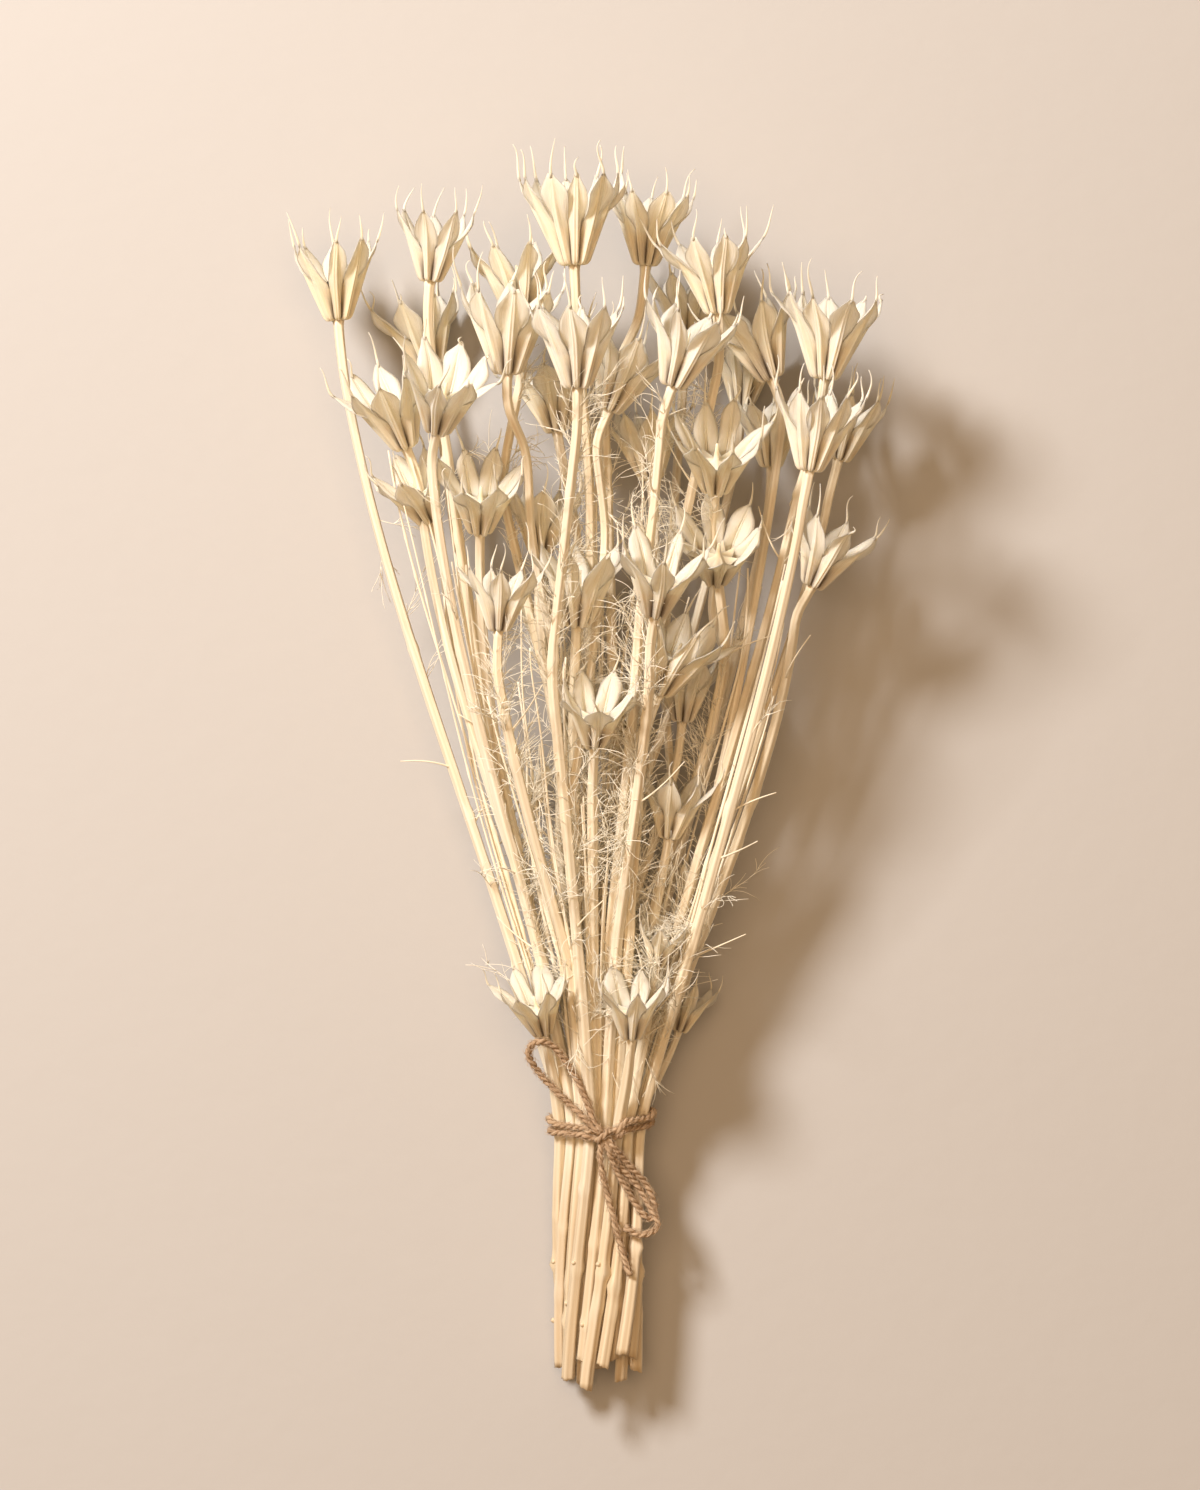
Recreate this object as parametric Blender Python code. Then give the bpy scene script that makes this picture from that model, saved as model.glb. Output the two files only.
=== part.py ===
"""A tied bunch of dried, bleached nigella seed pods, lying on its side.

Every cut stem is one solid with its side shoots and its pods, and a jute twine with a bow holds them.
The layout is worked out in millimetres: +X across the bunch, +Y along it towards the pods, +Z up from the
surface that it lies on. The solids are in metres.
"""
import math
import random

import bmesh
import bpy
import numpy as np
from mathutils import Matrix, Vector

MM = 0.001

# The bunch, in millimetres, with Y = 0 at the middle of the tie
CUT_END_Y = -94.0
TIE_HEIGHT = 20.9
AXIS_RISE = 0.095
STATION_STEP = 6.0
LAST_STATION = 320.0
TWIST_BELOW_TIE = math.radians(68)
SPREAD_BELOW_TIE = 1.42
TIE_ASPECT = 1.45
TIE_HALF_WIDTH = 13.0
TIE_HALF_DEPTH = 9.0
STEM_GAP = 0.6
STEM_GAP_GROWS = 0.5
POD_GAP = 1.2
STEM_TO_POD = 0.6

# How many times each relaxation runs: pods apart, stems packed at the tie, stems bent clear
PARTING_TURNS = 400
PACKING_TURNS = 900
BENDING_TURNS = 600

# One stem
STEM_RADIUS_BASE = 2.15
STEM_RADIUS_TIE = 1.95
SHOOT_RADIUS = 1.45
NECK_LENGTH = 13.0
NECK_RADIUS = 1.65
CUT_SLANT = 0.6
CUT_ENDS_VARY = 17.0
PATH_TOLERANCE = 0.3
STEM_SIDES = 5

# One pod of this mouth, from its foot to its beaks, as (radius, height). Low down the carpels are grown
# together, with a groove between each two. Above that each is a folded blade that opens towards the axis.
POD_MOUTH = 28.5
KEEL = [(4.4, 0.8), (8.6, 9.2), (12.2, 18.0), (14.8, 24.2)]
GROOVE = [(3.1, 0.6), (4.7, 8.8)]
MARGIN = [(8.6, 16.2), (14.0, 24.8)]
FOLD = [(10.2, 17.2), (13.5, 24.4)]
MARGIN_SHARE = [0.88, 0.2]
WIDEST_SPREAD = 3.8
BEAK_TIP = (15.6, 33.5)

# Thread leaves and the stubs of cut shoots: (how many are tried on each stem, lowest y, highest y)
THREADS = (2, 30.0, 235.0)
THREAD_LENGTH = (13.0, 24.0)
THREAD_RADIUS = (0.5, 0.42)
STUBS = (1, -72.0, -22.0)
STUB_LENGTH = 3.4
STUB_RADIUS = (1.0, 0.8)
CLEARANCE = 0.35

# The twine: two turns round the stems as (y in front, rise to the left, rise to the right), a knot in
# front, and the bow's loops and ends as (x, y) on the stems
TWINE_RADIUS = 1.1
TWINE_GAP = 0.5
TWINE_SIDES = 5
TURN_STEPS = 26
TURN_HALF_WIDTH = 15.0
TURNS = [(-1.2, 0.30, 0.46), (-3.4, 0.16, 0.38)]
KNOT = (1.0, -2.2)
KNOT_RUN = (-0.68, 0.73)
LOOP_UP = [(-2.4, 3.4), (-7.0, 15.5), (-12.6, 25.0), (-17.5, 30.4), (-22.6, 31.0),
           (-25.2, 27.2), (-22.8, 22.0), (-17.2, 15.2), (-10.9, 9.3), (-4.6, 3.0)]
LOOP_DOWN = [(4.4, -5.6), (10.4, -13.0), (15.8, -19.0), (18.6, -25.0), (19.4, -30.8),
             (16.6, -31.6), (12.8, -26.8), (9.2, -20.6), (6.0, -14.6), (3.2, -8.2)]
END_LONG = [(0.2, -6.3), (0.6, -14.0), (2.4, -22.4), (4.4, -29.8), (6.2, -37.0), (8.4, -44.8), (10.5, -51.8)]
END_CURLED = [(3.0, -5.0), (6.6, -12.4), (12.2, -18.6), (16.4, -25.6), (20.4, -34.4), (14.4, -37.6),
              (8.8, -34.8)]

# How far the lowest stems and pods are pressed flat by the surface
PRESSED = 1.6

CREAM = (0.86, 0.77, 0.58, 1.0)
JUTE = (0.42, 0.28, 0.15, 1.0)
SEED = 11

# Each stem: its pods, the leader first, as
# (x, y, z of the pod's foot, lean to the right, nod to the front, mouth, carpels, sideways bow of the stem)
STEMS = {
    "stem_far_left": [(-92, 285, 40, -3, 0, 31, 8, -5)],
    "stem_top_left": [(-59, 297, 62, 6, 0, 28, 7, -3), (-60, 268, 15, -12, 0, 30, 8, -3)],
    "stem_left": [(-56, 244, 78, 12, 32, 31, 8, -4), (-68, 240, 48, -20, 18, 31, 8, -6),
                  (-60, 214, 42, -24, 28, 26, 7, -6)],
    "stem_left_low": [(-42, 210, 62, 2, 32, 29, 8, -4)],
    "stem_front_left": [(-28, 284, 56, -4, 0, 31, 8, 0), (-32, 264, 88, 2, 4, 34, 8, 0)],
    "stem_top_middle": [(-9, 302, 74, -2, 0, 35, 10, 0), (-15, 246, 34, -8, 0, 28, 8, 0)],
    "stem_front_middle": [(-8, 258, 94, 0, 4, 32, 8, 0), (3, 252, 58, 20, 0, 30, 9, 0)],
    "stem_top_right_of_middle": [(16, 304, 44, 5, 0, 29, 9, 0), (31, 278, 13, 2, 0, 28, 8, 0)],
    "stem_crossing": [(25, 259, 84, 18, 4, 31, 8, 4)],
    "stem_top_right": [(41, 285, 58, -6, 0, 30, 9, 2), (50, 256, 24, 4, 0, 27, 8, 2)],
    "stem_right_pair": [(78, 263, 66, 6, 4, 33, 9, 3), (60, 264, 50, -20, 0, 31, 8, 2)],
    "stem_right": [(72, 230, 92, 8, 4, 31, 9, 2), (84, 236, 36, 12, 0, 27, 8, 3)],
    "stem_right_back": [(60, 234, 34, 0, 0, 26, 9, 2), (18, 229, 40, -6, 0, 28, 8, 0)],
    "stem_facing_pair": [(40, 224, 66, 2, 38, 32, 8, 2), (40, 192, 66, 4, 48, 30, 8, 2)],
    "stem_far_right": [(74, 191, 56, 24, 6, 28, 7, 4)],
    "stem_centre_right": [(19, 180, 74, 8, 24, 30, 7, 1), (29, 144, 36, 4, 10, 26, 8, 1)],
    "stem_slanting": [(21, 155, 66, 24, 14, 31, 8, 2)],
    "stem_centre": [(-8, 177, 62, 3, 8, 31, 7, 0), (-18, 170, 28, -6, 0, 24, 7, -1)],
    "stem_behind_centre": [(-21, 202, 46, 4, 0, 26, 7, 0)],
    "stem_left_centre": [(-35, 175, 80, 4, 4, 25, 7, -2), (-24, 113, 36, -2, 4, 18, 6, -1)],
    "stem_low_centre": [(-2, 135, 66, 4, 26, 27, 7, 0), (7, 137, 24, 2, 0, 22, 7, 0)],
    "stem_low_right": [(24, 103, 46, 8, 10, 25, 7, 1), (32, 76, 30, 12, 0, 19, 6, 1)],
    "stem_front_low": [(20, 58, 44, 8, 14, 18, 6, 0)],
    "stem_by_tie": [(11, 33, 45, 2, 20, 25, 7, 0)],
    "stem_by_tie_left": [(-20, 34, 38, -14, 24, 24, 8, -1)],
    "stem_by_tie_back": [(28, 34, 18, 16, 0, 20, 6, 1)],
}


def axis_height(y):
    """Height of the bunch's middle above the surface: it lies on its cut ends and its lowest pods."""
    return TIE_HEIGHT + AXIS_RISE * y


def direction(lean, nod):
    lean, nod = math.radians(lean), math.radians(nod)
    return np.array([math.sin(lean) * math.cos(nod), math.cos(lean) * math.cos(nod), math.sin(nod)])


class Pod:
    """One seed pod: where its foot is, which way it points, and what it is made of."""

    def __init__(self, stem, rank, row):
        x, y, z, lean, nod, mouth, carpels, bow = row
        self.stem = stem
        self.rank = rank
        self.foot = np.array([x, y, z], float)
        self.axis = direction(lean, nod)
        self.scale = mouth / POD_MOUTH
        self.carpels = carpels
        self.bow = bow
        self.path = None

    def balls(self):
        """Balls that hold the neck and the pod: (distance along its axis, radius)."""
        s = self.scale
        return [(-7.0, 2.4), (9 * s, 8.5 * s), (19.5 * s, 13.5 * s), (26 * s, 14.0 * s)]

    def cone_radius(self, height):
        """Radius of the room that the pod takes, at these heights above its foot."""
        s = self.scale
        heights = np.array([-3 / s, 0, 1, 9, 20, 26, 36]) * s
        return np.interp(height, heights, np.array([2, 3, 5, 9.4, 14.2, 16, 17]) * s)


def read_pods():
    return [Pod(stem, rank, row) for stem, rows in STEMS.items() for rank, row in enumerate(rows)]


def part_pods(pods):
    """Moves the pods a little, mostly up and down, until those of different stems have room."""
    start = np.array([p.foot for p in pods])
    axes = np.array([p.axis for p in pods])
    balls = np.array([p.balls() for p in pods])
    other = np.array([[a.stem != b.stem for b in pods] for a in pods])
    freedom = np.array([0.22, 0.22, 1.0])
    drawn_back = np.array([0.04, 0.04, 0.004])
    lowest = (balls[:, :3, 1] - axes[:, None, 2] * balls[:, :3, 0]).max(1)
    feet = start.copy()
    for _ in range(PARTING_TURNS):
        push = np.zeros_like(start)
        for i in range(balls.shape[1]):
            for j in range(balls.shape[1]):
                here = feet + axes * balls[:, i, :1]
                there = feet + axes * balls[:, j, :1]
                gap = here[:, None] - there[None]
                distance = np.maximum(np.linalg.norm(gap, axis=2), 1e-6)
                apart = balls[:, i, 1][:, None] + balls[:, j, 1][None] + POD_GAP
                short = np.maximum(apart - distance, 0) * other
                push += (gap / distance[:, :, None] * short[:, :, None]).sum(1) * 0.14 * freedom
        feet = feet + push + (start - feet) * drawn_back
        feet[:, 2] = np.maximum(feet[:, 2], lowest)
    for p, foot in zip(pods, feet):
        p.foot = foot
    return pods


def cone_half_width(y):
    """Half width and half depth of the bunch above the tie, at this distance from it."""
    return 15.0 + 0.29 * y, 10.5 + 0.14 * y


def tie_places(stems, leaders):
    """Where each stem crosses the tie, packed as close as they can lie."""
    places = []
    for stem in stems:
        pod = leaders[stem]
        wide, deep = cone_half_width(pod.foot[1])
        rise = pod.foot[2] - axis_height(pod.foot[1])
        places.append([pod.foot[0] / wide * TIE_HALF_WIDTH, rise / deep * TIE_HALF_DEPTH])
    places = np.array(places)
    apart = 2 * STEM_RADIUS_TIE + STEM_GAP
    for _ in range(PACKING_TURNS):
        push = -0.02 * places * np.array([1.0, TIE_ASPECT ** 2])
        for i in range(len(places)):
            gap = places[i] - places
            distance = np.linalg.norm(gap, axis=1)
            distance[i] = 1e9
            short = np.maximum(apart - distance, 0)
            push[i] += (gap / np.maximum(distance, 1e-6)[:, None] * short[:, None] * 0.45).sum(0)
        places = places + push
    return {stem: places[i] for i, stem in enumerate(stems)}


def below_tie(place, y):
    """The stems turn round each other and spread below the tie, as in any bunch tied by hand."""
    share = y / CUT_END_Y
    turn = TWIST_BELOW_TIE * share
    grow = 1 + (SPREAD_BELOW_TIE - 1) * share
    x, z = grow * place
    return x * math.cos(turn) - z * math.sin(turn), x * math.sin(turn) + z * math.cos(turn)


def stations():
    return np.arange(CUT_END_Y, LAST_STATION, STATION_STEP)


def stem_radius(y, leader):
    """A leader is thickest at its cut end; a side shoot is thin all along."""
    thick = np.interp(y, [CUT_END_Y, 0, 150, 300], [STEM_RADIUS_BASE, STEM_RADIUS_TIE, 1.7, SHOOT_RADIUS])
    return thick if leader else np.minimum(thick, SHOOT_RADIUS)


def first_route(pod, place, ys):
    """The stem's line before it is bent clear of its neighbours."""
    neck = pod.foot - pod.axis * NECK_LENGTH
    points = []
    for y in ys:
        if y <= 0:
            dx, dz = below_tie(place, y)
            points.append([dx, axis_height(y) + dz])
        else:
            t = min(y / neck[1], 1.0)
            x = place[0] + (neck[0] - place[0]) * t + pod.bow * math.sin(math.pi * t * t)
            low, high = TIE_HEIGHT + place[1], neck[2]
            points.append([x, low + (high - low) * t])
    return np.array(points)


def bend_clear(pods, places):
    """Works out every stem's line, so that no stem passes through another or through a pod."""
    ys = stations()
    n, m = len(pods), len(ys)
    first = np.zeros((n, m, 2))
    radius = np.zeros((n, m))
    last = np.zeros(n, int)
    fork = np.full(n, -1)
    for i, p in enumerate(pods):
        first[i] = first_route(p, places[p.stem], ys)
        radius[i] = stem_radius(ys, p.rank == 0)
        last[i] = int(np.searchsorted(ys, p.foot[1] - NECK_LENGTH * p.axis[1] * 0.7)) - 1
        if p.rank:
            fork[i] = int(np.searchsorted(ys, max(14.0, p.foot[1] * 0.42)))
    for _ in range(2):
        padded = np.pad(first, ((0, 0), (1, 1), (0, 0)), mode="edge")
        first = (padded[:, :-2] + padded[:, 1:-1] + padded[:, 2:]) / 3
    leader_of = [next(j for j, q in enumerate(pods) if q.stem == p.stem and q.rank == 0) for p in pods]
    moved = np.zeros_like(first)
    same = np.array([[a.stem == b.stem for b in pods] for a in pods])
    live = np.array([[s <= last[i] for s in range(m)] for i in range(n)])
    for turn in range(BENDING_TURNS):
        at = first + moved
        push = np.zeros_like(first)
        for s in range(m):
            who = np.nonzero(live[:, s])[0]
            gap = at[who, None, s] - at[None, who, s]
            distance = np.maximum(np.linalg.norm(gap, axis=2), 1e-6) + np.eye(len(who)) * 1e9
            apart = STEM_GAP + min(max(ys[s], 0.0) / 100, STEM_GAP_GROWS)
            short = np.maximum(radius[who, s][:, None] + radius[who, s][None] + apart - distance, 0)
            short[same[np.ix_(who, who)]] = 0
            push[who, s] += (gap / distance[:, :, None] * short[:, :, None] * 0.45).sum(1)
        for j, p in enumerate(pods):
            point = np.dstack([at[:, :, 0], np.broadcast_to(ys, (n, m)), at[:, :, 1]]) - p.foot
            height = point @ p.axis
            across = point - height[:, :, None] * p.axis
            off = np.linalg.norm(across, axis=2)
            room = p.cone_radius(height) + radius + STEM_TO_POD
            inside = (height > -3) & (height < 36 * p.scale) & (off < room) & live & ~same[j][:, None]
            step = across / np.maximum(off, 1e-6)[:, :, None] * (room - off)[:, :, None] * 0.4
            push[:, :, 0] += np.where(inside, step[:, :, 0], 0)
            push[:, :, 1] += np.where(inside, step[:, :, 2], 0)
        moved += push
        passes, blend = (3, 1.0) if turn < 0.9 * BENDING_TURNS else (2, 0.8)
        for _ in range(passes):
            smooth = (moved[:, :-2] + 2 * moved[:, 1:-1] + moved[:, 2:]) / 4
            moved[:, 1:-1] += (smooth - moved[:, 1:-1]) * blend
        for i in range(n):
            moved[i, last[i]:] = 0
            moved[i, last[i] - 1] *= 0.6
            if fork[i] >= 0:
                j = leader_of[i]
                moved[i, :fork[i] + 1] = (first[j] + moved[j] - first[i])[:fork[i] + 1]
        low = radius - (first + moved)[:, :, 1]
        moved[:, :, 1] += np.maximum(low, 0)
    at = first + moved
    for i, p in enumerate(pods):
        start = 0 if p.rank == 0 else max(fork[i] - 1, 0)
        line = [[at[i, s, 0], ys[s], at[i, s, 1]] for s in range(start, last[i] + 1)]
        line.append(p.foot - p.axis * NECK_LENGTH * 0.35)
        line.append(p.foot)
        p.path = np.array(line)
    return pods


def lay_out():
    pods = part_pods(read_pods())
    leaders = {p.stem: p for p in pods if p.rank == 0}
    places = tie_places(list(STEMS), leaders)
    return bend_clear(pods, places)


def frames_along(path):
    """A direction, a side and an up at every point of a path."""
    forward = np.gradient(path, axis=0)
    forward /= np.linalg.norm(forward, axis=1)[:, None]
    up = np.cross(forward[0], [1.0, 0.0, 0.0])
    if np.linalg.norm(up) < 0.2:
        up = np.cross(forward[0], [0.0, 0.0, 1.0])
    sides, ups = [], []
    for f in forward:
        up = up - f * (up @ f)
        up /= np.linalg.norm(up)
        sides.append(np.cross(f, up))
        ups.append(up)
    return forward, np.array(sides), np.array(ups)


def tube(path, radii, sides):
    """Points and faces of a closed tube along a path."""
    _, side, up = frames_along(path)
    points, faces = [], []
    for i, centre in enumerate(path):
        for k in range(sides):
            a = 2 * math.pi * (k + 0.5) / sides
            points.append(centre + radii[i] * (math.cos(a) * side[i] + math.sin(a) * up[i]))
    for i in range(len(path) - 1):
        for k in range(sides):
            a, b = i * sides + k, i * sides + (k + 1) % sides
            faces.append((a, a + sides, b + sides, b))
    faces.append(tuple(range(sides)))
    faces.append(tuple(reversed([(len(path) - 1) * sides + k for k in range(sides)])))
    return points, faces


def thinned(path, tolerance):
    """The path with every point dropped that lies within the tolerance of a straight run."""
    if len(path) < 3:
        return path
    run = path[-1] - path[0]
    run = run / np.linalg.norm(run)
    off = path - path[0]
    off = np.linalg.norm(off - (off @ run)[:, None] * run, axis=1)
    far = int(off.argmax())
    if off[far] < tolerance:
        return np.array([path[0], path[-1]])
    return np.vstack([thinned(path[:far + 1], tolerance)[:-1], thinned(path[far:], tolerance)])


def at_height(path, y):
    """The point of a stem's line at this y."""
    return np.array([np.interp(y, path[:, 1], path[:, i]) for i in range(3)])


def bridge(inner, outer):
    """Triangles between two rings round the same axis, whose first points lie at the same angle."""
    faces = []
    i = j = 0
    while i < len(inner) or j < len(outer):
        here, there = inner[i % len(inner)], outer[j % len(outer)]
        if (j + 1) / len(outer) <= (i + 1) / len(inner):
            j += 1
            faces.append((here, there, outer[j % len(outer)]))
        else:
            i += 1
            faces.append((here, there, inner[i % len(inner)]))
    return faces


def stem_and_pod(pod, rng):
    """One closed mesh: a stem or side shoot, and the pod that it ends in."""
    m, n, s = STEM_SIDES, pod.carpels, pod.scale
    line = pod.path
    if pod.rank == 0:
        end = CUT_END_Y + rng.uniform(0, CUT_ENDS_VARY)
        line = np.vstack([at_height(line, end), line[line[:, 1] > end + 1]])
    path = thinned(line, PATH_TOLERANCE)
    radii = list(stem_radius(path[:, 1], pod.rank == 0))
    radii[-1] = NECK_RADIUS * min(s, 1.0)
    _, sides, ups = frames_along(path)
    start = rng.uniform(0, 2 * math.pi)
    points = []

    def around(frame, angle):
        return math.cos(angle) * sides[frame] + math.sin(angle) * ups[frame]

    slant = rng.uniform(-CUT_SLANT, CUT_SLANT) if pod.rank == 0 else 0.0
    for i, centre in enumerate(path):
        for k in range(m):
            angle = start + 2 * math.pi * k / m
            point = centre + radii[i] * around(i, angle)
            if i == 0:
                point = point + np.array([0, 1, 0]) * slant * radii[i] * math.cos(angle)
            points.append(point)
    faces = [tuple(range(m))]
    for i in range(len(path) - 1):
        for k in range(m):
            a, b = i * m + k, i * m + (k + 1) % m
            faces.append((a, a + m, b + m, b))
    top = (len(path) - 1) * m
    opening = [rng.uniform(0.86, 1.04) for _ in range(n)]
    reach = [rng.uniform(0.92, 1.04) for _ in range(n)]

    def place(k, radius, height, aside=0.0):
        angle = start + 2 * math.pi * (k + 0.5) / n
        out, tangent = around(-1, angle), around(-1, angle + math.pi / 2)
        points.append(pod.foot + s * (radius * out + height * pod.axis + aside * tangent))
        return len(points) - 1

    keels, grooves = [], []
    for row, (radius, height) in enumerate(GROOVE):
        keel, up = KEEL[row]
        keels.append([place(k, keel * (1 + (opening[k] - 1) * row / 3), up) for k in range(n)])
        grooves.append([place(k - 0.5, radius, height) for k in range(n)])
    foot = [corner for pair in zip(grooves[0], keels[0]) for corner in pair]
    faces += bridge([top + k for k in range(m)], foot)
    for k in range(n):
        after = (k + 1) % n
        left, keel, right = grooves[0][k], keels[0][k], grooves[0][after]
        upper_left, upper_keel, upper_right = grooves[1][k], keels[1][k], grooves[1][after]
        faces += [(left, upper_left, upper_keel), (left, upper_keel, keel)]
        faces += [(keel, upper_keel, right), (right, upper_keel, upper_right)]
    points.append(pod.foot + s * GROOVE[1][1] * pod.axis)
    centre = len(points) - 1
    for k in range(n):
        ring = [grooves[1][k], keels[1][k], grooves[1][(k + 1) % n], centre]
        for row, (radius, height) in enumerate(MARGIN):
            spread = min(radius * math.tan(math.pi / n) * MARGIN_SHARE[row], WIDEST_SPREAD)
            wide = 1 + (opening[k] - 1) * (row + 2) / 3
            upper = [
                place(k, radius * wide, height, -spread),
                place(k, KEEL[row + 2][0] * wide, KEEL[row + 2][1]),
                place(k, radius * wide, height, spread),
                place(k, FOLD[row][0] * wide, FOLD[row][1]),
            ]
            faces += [(ring[0], upper[0], upper[1]), (ring[0], upper[1], ring[1])]
            faces += [(ring[1], upper[1], ring[2]), (ring[2], upper[1], upper[2])]
            faces += [(ring[2], upper[2], upper[3]), (ring[2], upper[3], ring[3])]
            faces += [(ring[3], upper[3], ring[0]), (ring[0], upper[3], upper[0])]
            ring = upper
        tip = place(k, BEAK_TIP[0] * opening[k] * reach[k], BEAK_TIP[1] * reach[k])
        faces += [(ring[i], tip, ring[(i + 1) % 4]) for i in range(4)]
    return points, faces


def mesh_object(name, points, faces):
    mesh = bpy.data.meshes.new(name)
    mesh.from_pydata([Vector(p) * MM for p in points], [], faces)
    bm = bmesh.new()
    bm.from_mesh(mesh)
    bmesh.ops.recalc_face_normals(bm, faces=bm.faces)
    bmesh.ops.triangulate(bm, faces=[f for f in bm.faces if len(f.verts) > 3])
    bm.to_mesh(mesh)
    bm.free()
    obj = bpy.data.objects.new(name, mesh)
    bpy.context.scene.collection.objects.link(obj)
    return obj


def combined(body, others, operation):
    """Applies one Boolean between a body and a few other objects, and removes those."""
    scene = bpy.context.scene.collection
    group = bpy.data.collections.new(body.name + "_others")
    scene.children.link(group)
    for other in others:
        scene.objects.unlink(other)
        group.objects.link(other)
    modifier = body.modifiers.new("combine", "BOOLEAN")
    modifier.operation = operation
    modifier.operand_type = "COLLECTION"
    modifier.collection = group
    modifier.solver = "MANIFOLD"
    bpy.context.view_layer.update()
    graph = bpy.context.evaluated_depsgraph_get()
    mesh = bpy.data.meshes.new_from_object(body.evaluated_get(graph))
    kept = body.data.materials[0]
    body.modifiers.clear()
    body.data = mesh
    mesh.materials.clear()
    mesh.materials.append(kept)
    for other in list(group.objects):
        bpy.data.objects.remove(other)
    bpy.data.collections.remove(group)


def joined(name, shapes, material):
    """One closed body made of overlapping shapes, the first of which carries the others."""
    bodies = [mesh_object(f"{name}_{i}" if i else name, *shape) for i, shape in enumerate(shapes)]
    bodies[0].data.materials.append(material)
    if len(bodies) > 1:
        combined(bodies[0], bodies[1:], "UNION")
    return bodies[0]


def material(name, colour, roughness):
    made = bpy.data.materials.new(name)
    made.use_nodes = True
    shader = made.node_tree.nodes["Principled BSDF"]
    shader.inputs["Base Color"].default_value = colour
    shader.inputs["Roughness"].default_value = roughness
    shader.inputs["Metallic"].default_value = 0.0
    return made


def along(path, step):
    """The path again, with a point at every step of its length."""
    length = np.concatenate([[0], np.cumsum(np.linalg.norm(np.diff(path, axis=0), axis=1))])
    at = np.linspace(0, length[-1], max(int(length[-1] / step), 2) + 1)
    return np.column_stack([np.interp(at, length, path[:, i]) for i in range(path.shape[1])])


def curve(points, step):
    """A smooth curve through the points."""
    points = np.array(points, float)
    ends = np.vstack([2 * points[0] - points[1], points, 2 * points[-1] - points[-2]])
    out = []
    for a, b, c, d in zip(ends, ends[1:], ends[2:], ends[3:]):
        for t in np.linspace(0, 1, 12, endpoint=False):
            out.append(0.5 * (2 * b + (c - a) * t + (2 * a - 5 * b + 4 * c - d) * t * t
                              + (3 * b - a - 3 * c + d) * t ** 3))
    out.append(points[-1])
    return along(np.array(out), step)


def filled_room(pods):
    """Every stem and pod as a row of balls: (centres, radii, number of the stem)."""
    numbers = {stem: i for i, stem in enumerate(STEMS)}
    centres, radii, owner = [], [], []
    for p in pods:
        line = along(p.path, 1.5)
        heights = np.arange(1.0, 35.0, 1.5) * p.scale
        centres += [line, p.foot + heights[:, None] * p.axis]
        radii += [stem_radius(line[:, 1], p.rank == 0), p.cone_radius(heights)]
        owner.append(np.full(len(line) + len(heights), numbers[p.stem]))
    return np.vstack(centres), np.concatenate(radii), np.concatenate(owner)


def sprigs(pods, room, rng):
    """The thread leaves and the stubs of cut shoots of each stem, where they touch nothing else.

    Also gives back the room with these added.
    """
    centres, radii, owner = room
    found = {stem: [] for stem in STEMS}
    for number, stem in enumerate(STEMS):
        leader = next(p for p in pods if p.stem == stem and p.rank == 0)
        others = owner != number
        for kind, (count, low, high) in (("thread", THREADS), ("stub", STUBS)):
            for _ in range(count if leader.foot[1] - 22 > low else 0):
                for _ in range(14):
                    y = rng.uniform(low, min(high, leader.foot[1] - 22))
                    root = at_height(leader.path, y)
                    ahead = at_height(leader.path, y + 3) - root
                    ahead /= np.linalg.norm(ahead)
                    turn = rng.uniform(0, 2 * math.pi)
                    aside = np.cross(ahead, [math.cos(turn), 0, math.sin(turn)])
                    aside /= np.linalg.norm(aside)
                    if kind == "stub":
                        line = np.array([root, root + STUB_LENGTH * (0.85 * aside + 0.5 * ahead)])
                        ends = STUB_RADIUS
                    else:
                        length = rng.uniform(*THREAD_LENGTH)
                        bend = rng.uniform(-0.5, 0.5) * np.cross(ahead, aside)
                        bend += rng.uniform(-0.2, 0.5) * ahead
                        t = np.linspace(0, 1, 5)[:, None]
                        line = root + length * (t * (0.75 * aside + 0.6 * ahead) + t * t * bend)
                        ends = THREAD_RADIUS
                    fine = along(line, 1.2)
                    near = np.linalg.norm(fine[:, None] - centres[None, others], axis=2) - radii[others]
                    if near.min() < ends[0] + CLEARANCE or fine[:, 2].min() < 1.0:
                        continue
                    found[stem].append((line, ends, 4 if kind == "stub" else 3))
                    size = len(fine) - 2
                    centres = np.vstack([centres, fine[2:]])
                    radii = np.concatenate([radii, np.full(size, ends[0])])
                    owner = np.concatenate([owner, np.full(size, number)])
                    others = owner != number
                    break
    return found, (centres, radii, owner)


def build_stems(pods, found, cream):
    rng = random.Random(SEED)
    stems = []
    for stem in STEMS:
        shapes = [stem_and_pod(p, rng) for p in pods if p.stem == stem]
        for line, ends, sides in found[stem]:
            shapes.append(tube(line, np.linspace(ends[0], ends[1], len(line)), sides))
        stems.append(joined(stem, shapes, cream))
    return stems


def turn_round(pods, row):
    """One turn of twine round the stems: it follows their outline, and dips towards the knot in front."""
    middle, left, right = row
    leaders = [p for p in pods if p.rank == 0]
    points, outward = [], []
    for i in range(TURN_STEPS):
        a = 2 * math.pi * i / TURN_STEPS
        u = np.array([math.cos(a), math.sin(a)])
        x = TURN_HALF_WIDTH * u[0]
        if u[1] > 0:
            y = middle + abs(x) * (right if x > 0 else left)
        else:
            y = middle + (TURN_HALF_WIDTH * (left + right) + x * (right - left)) / 2
        near = [at_height(p.path, y + shift)[[0, 2]] for p in leaders for shift in (-1.2, 0.0, 1.2)]
        outermost = max(near, key=lambda c: c @ u)
        out = outermost + (stem_radius(y, True) + TWINE_GAP + TWINE_RADIUS) * u
        points.append([out[0], y, out[1]])
        outward.append([u[0], 0, u[1]])
    return np.array(points), np.array(outward)


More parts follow.
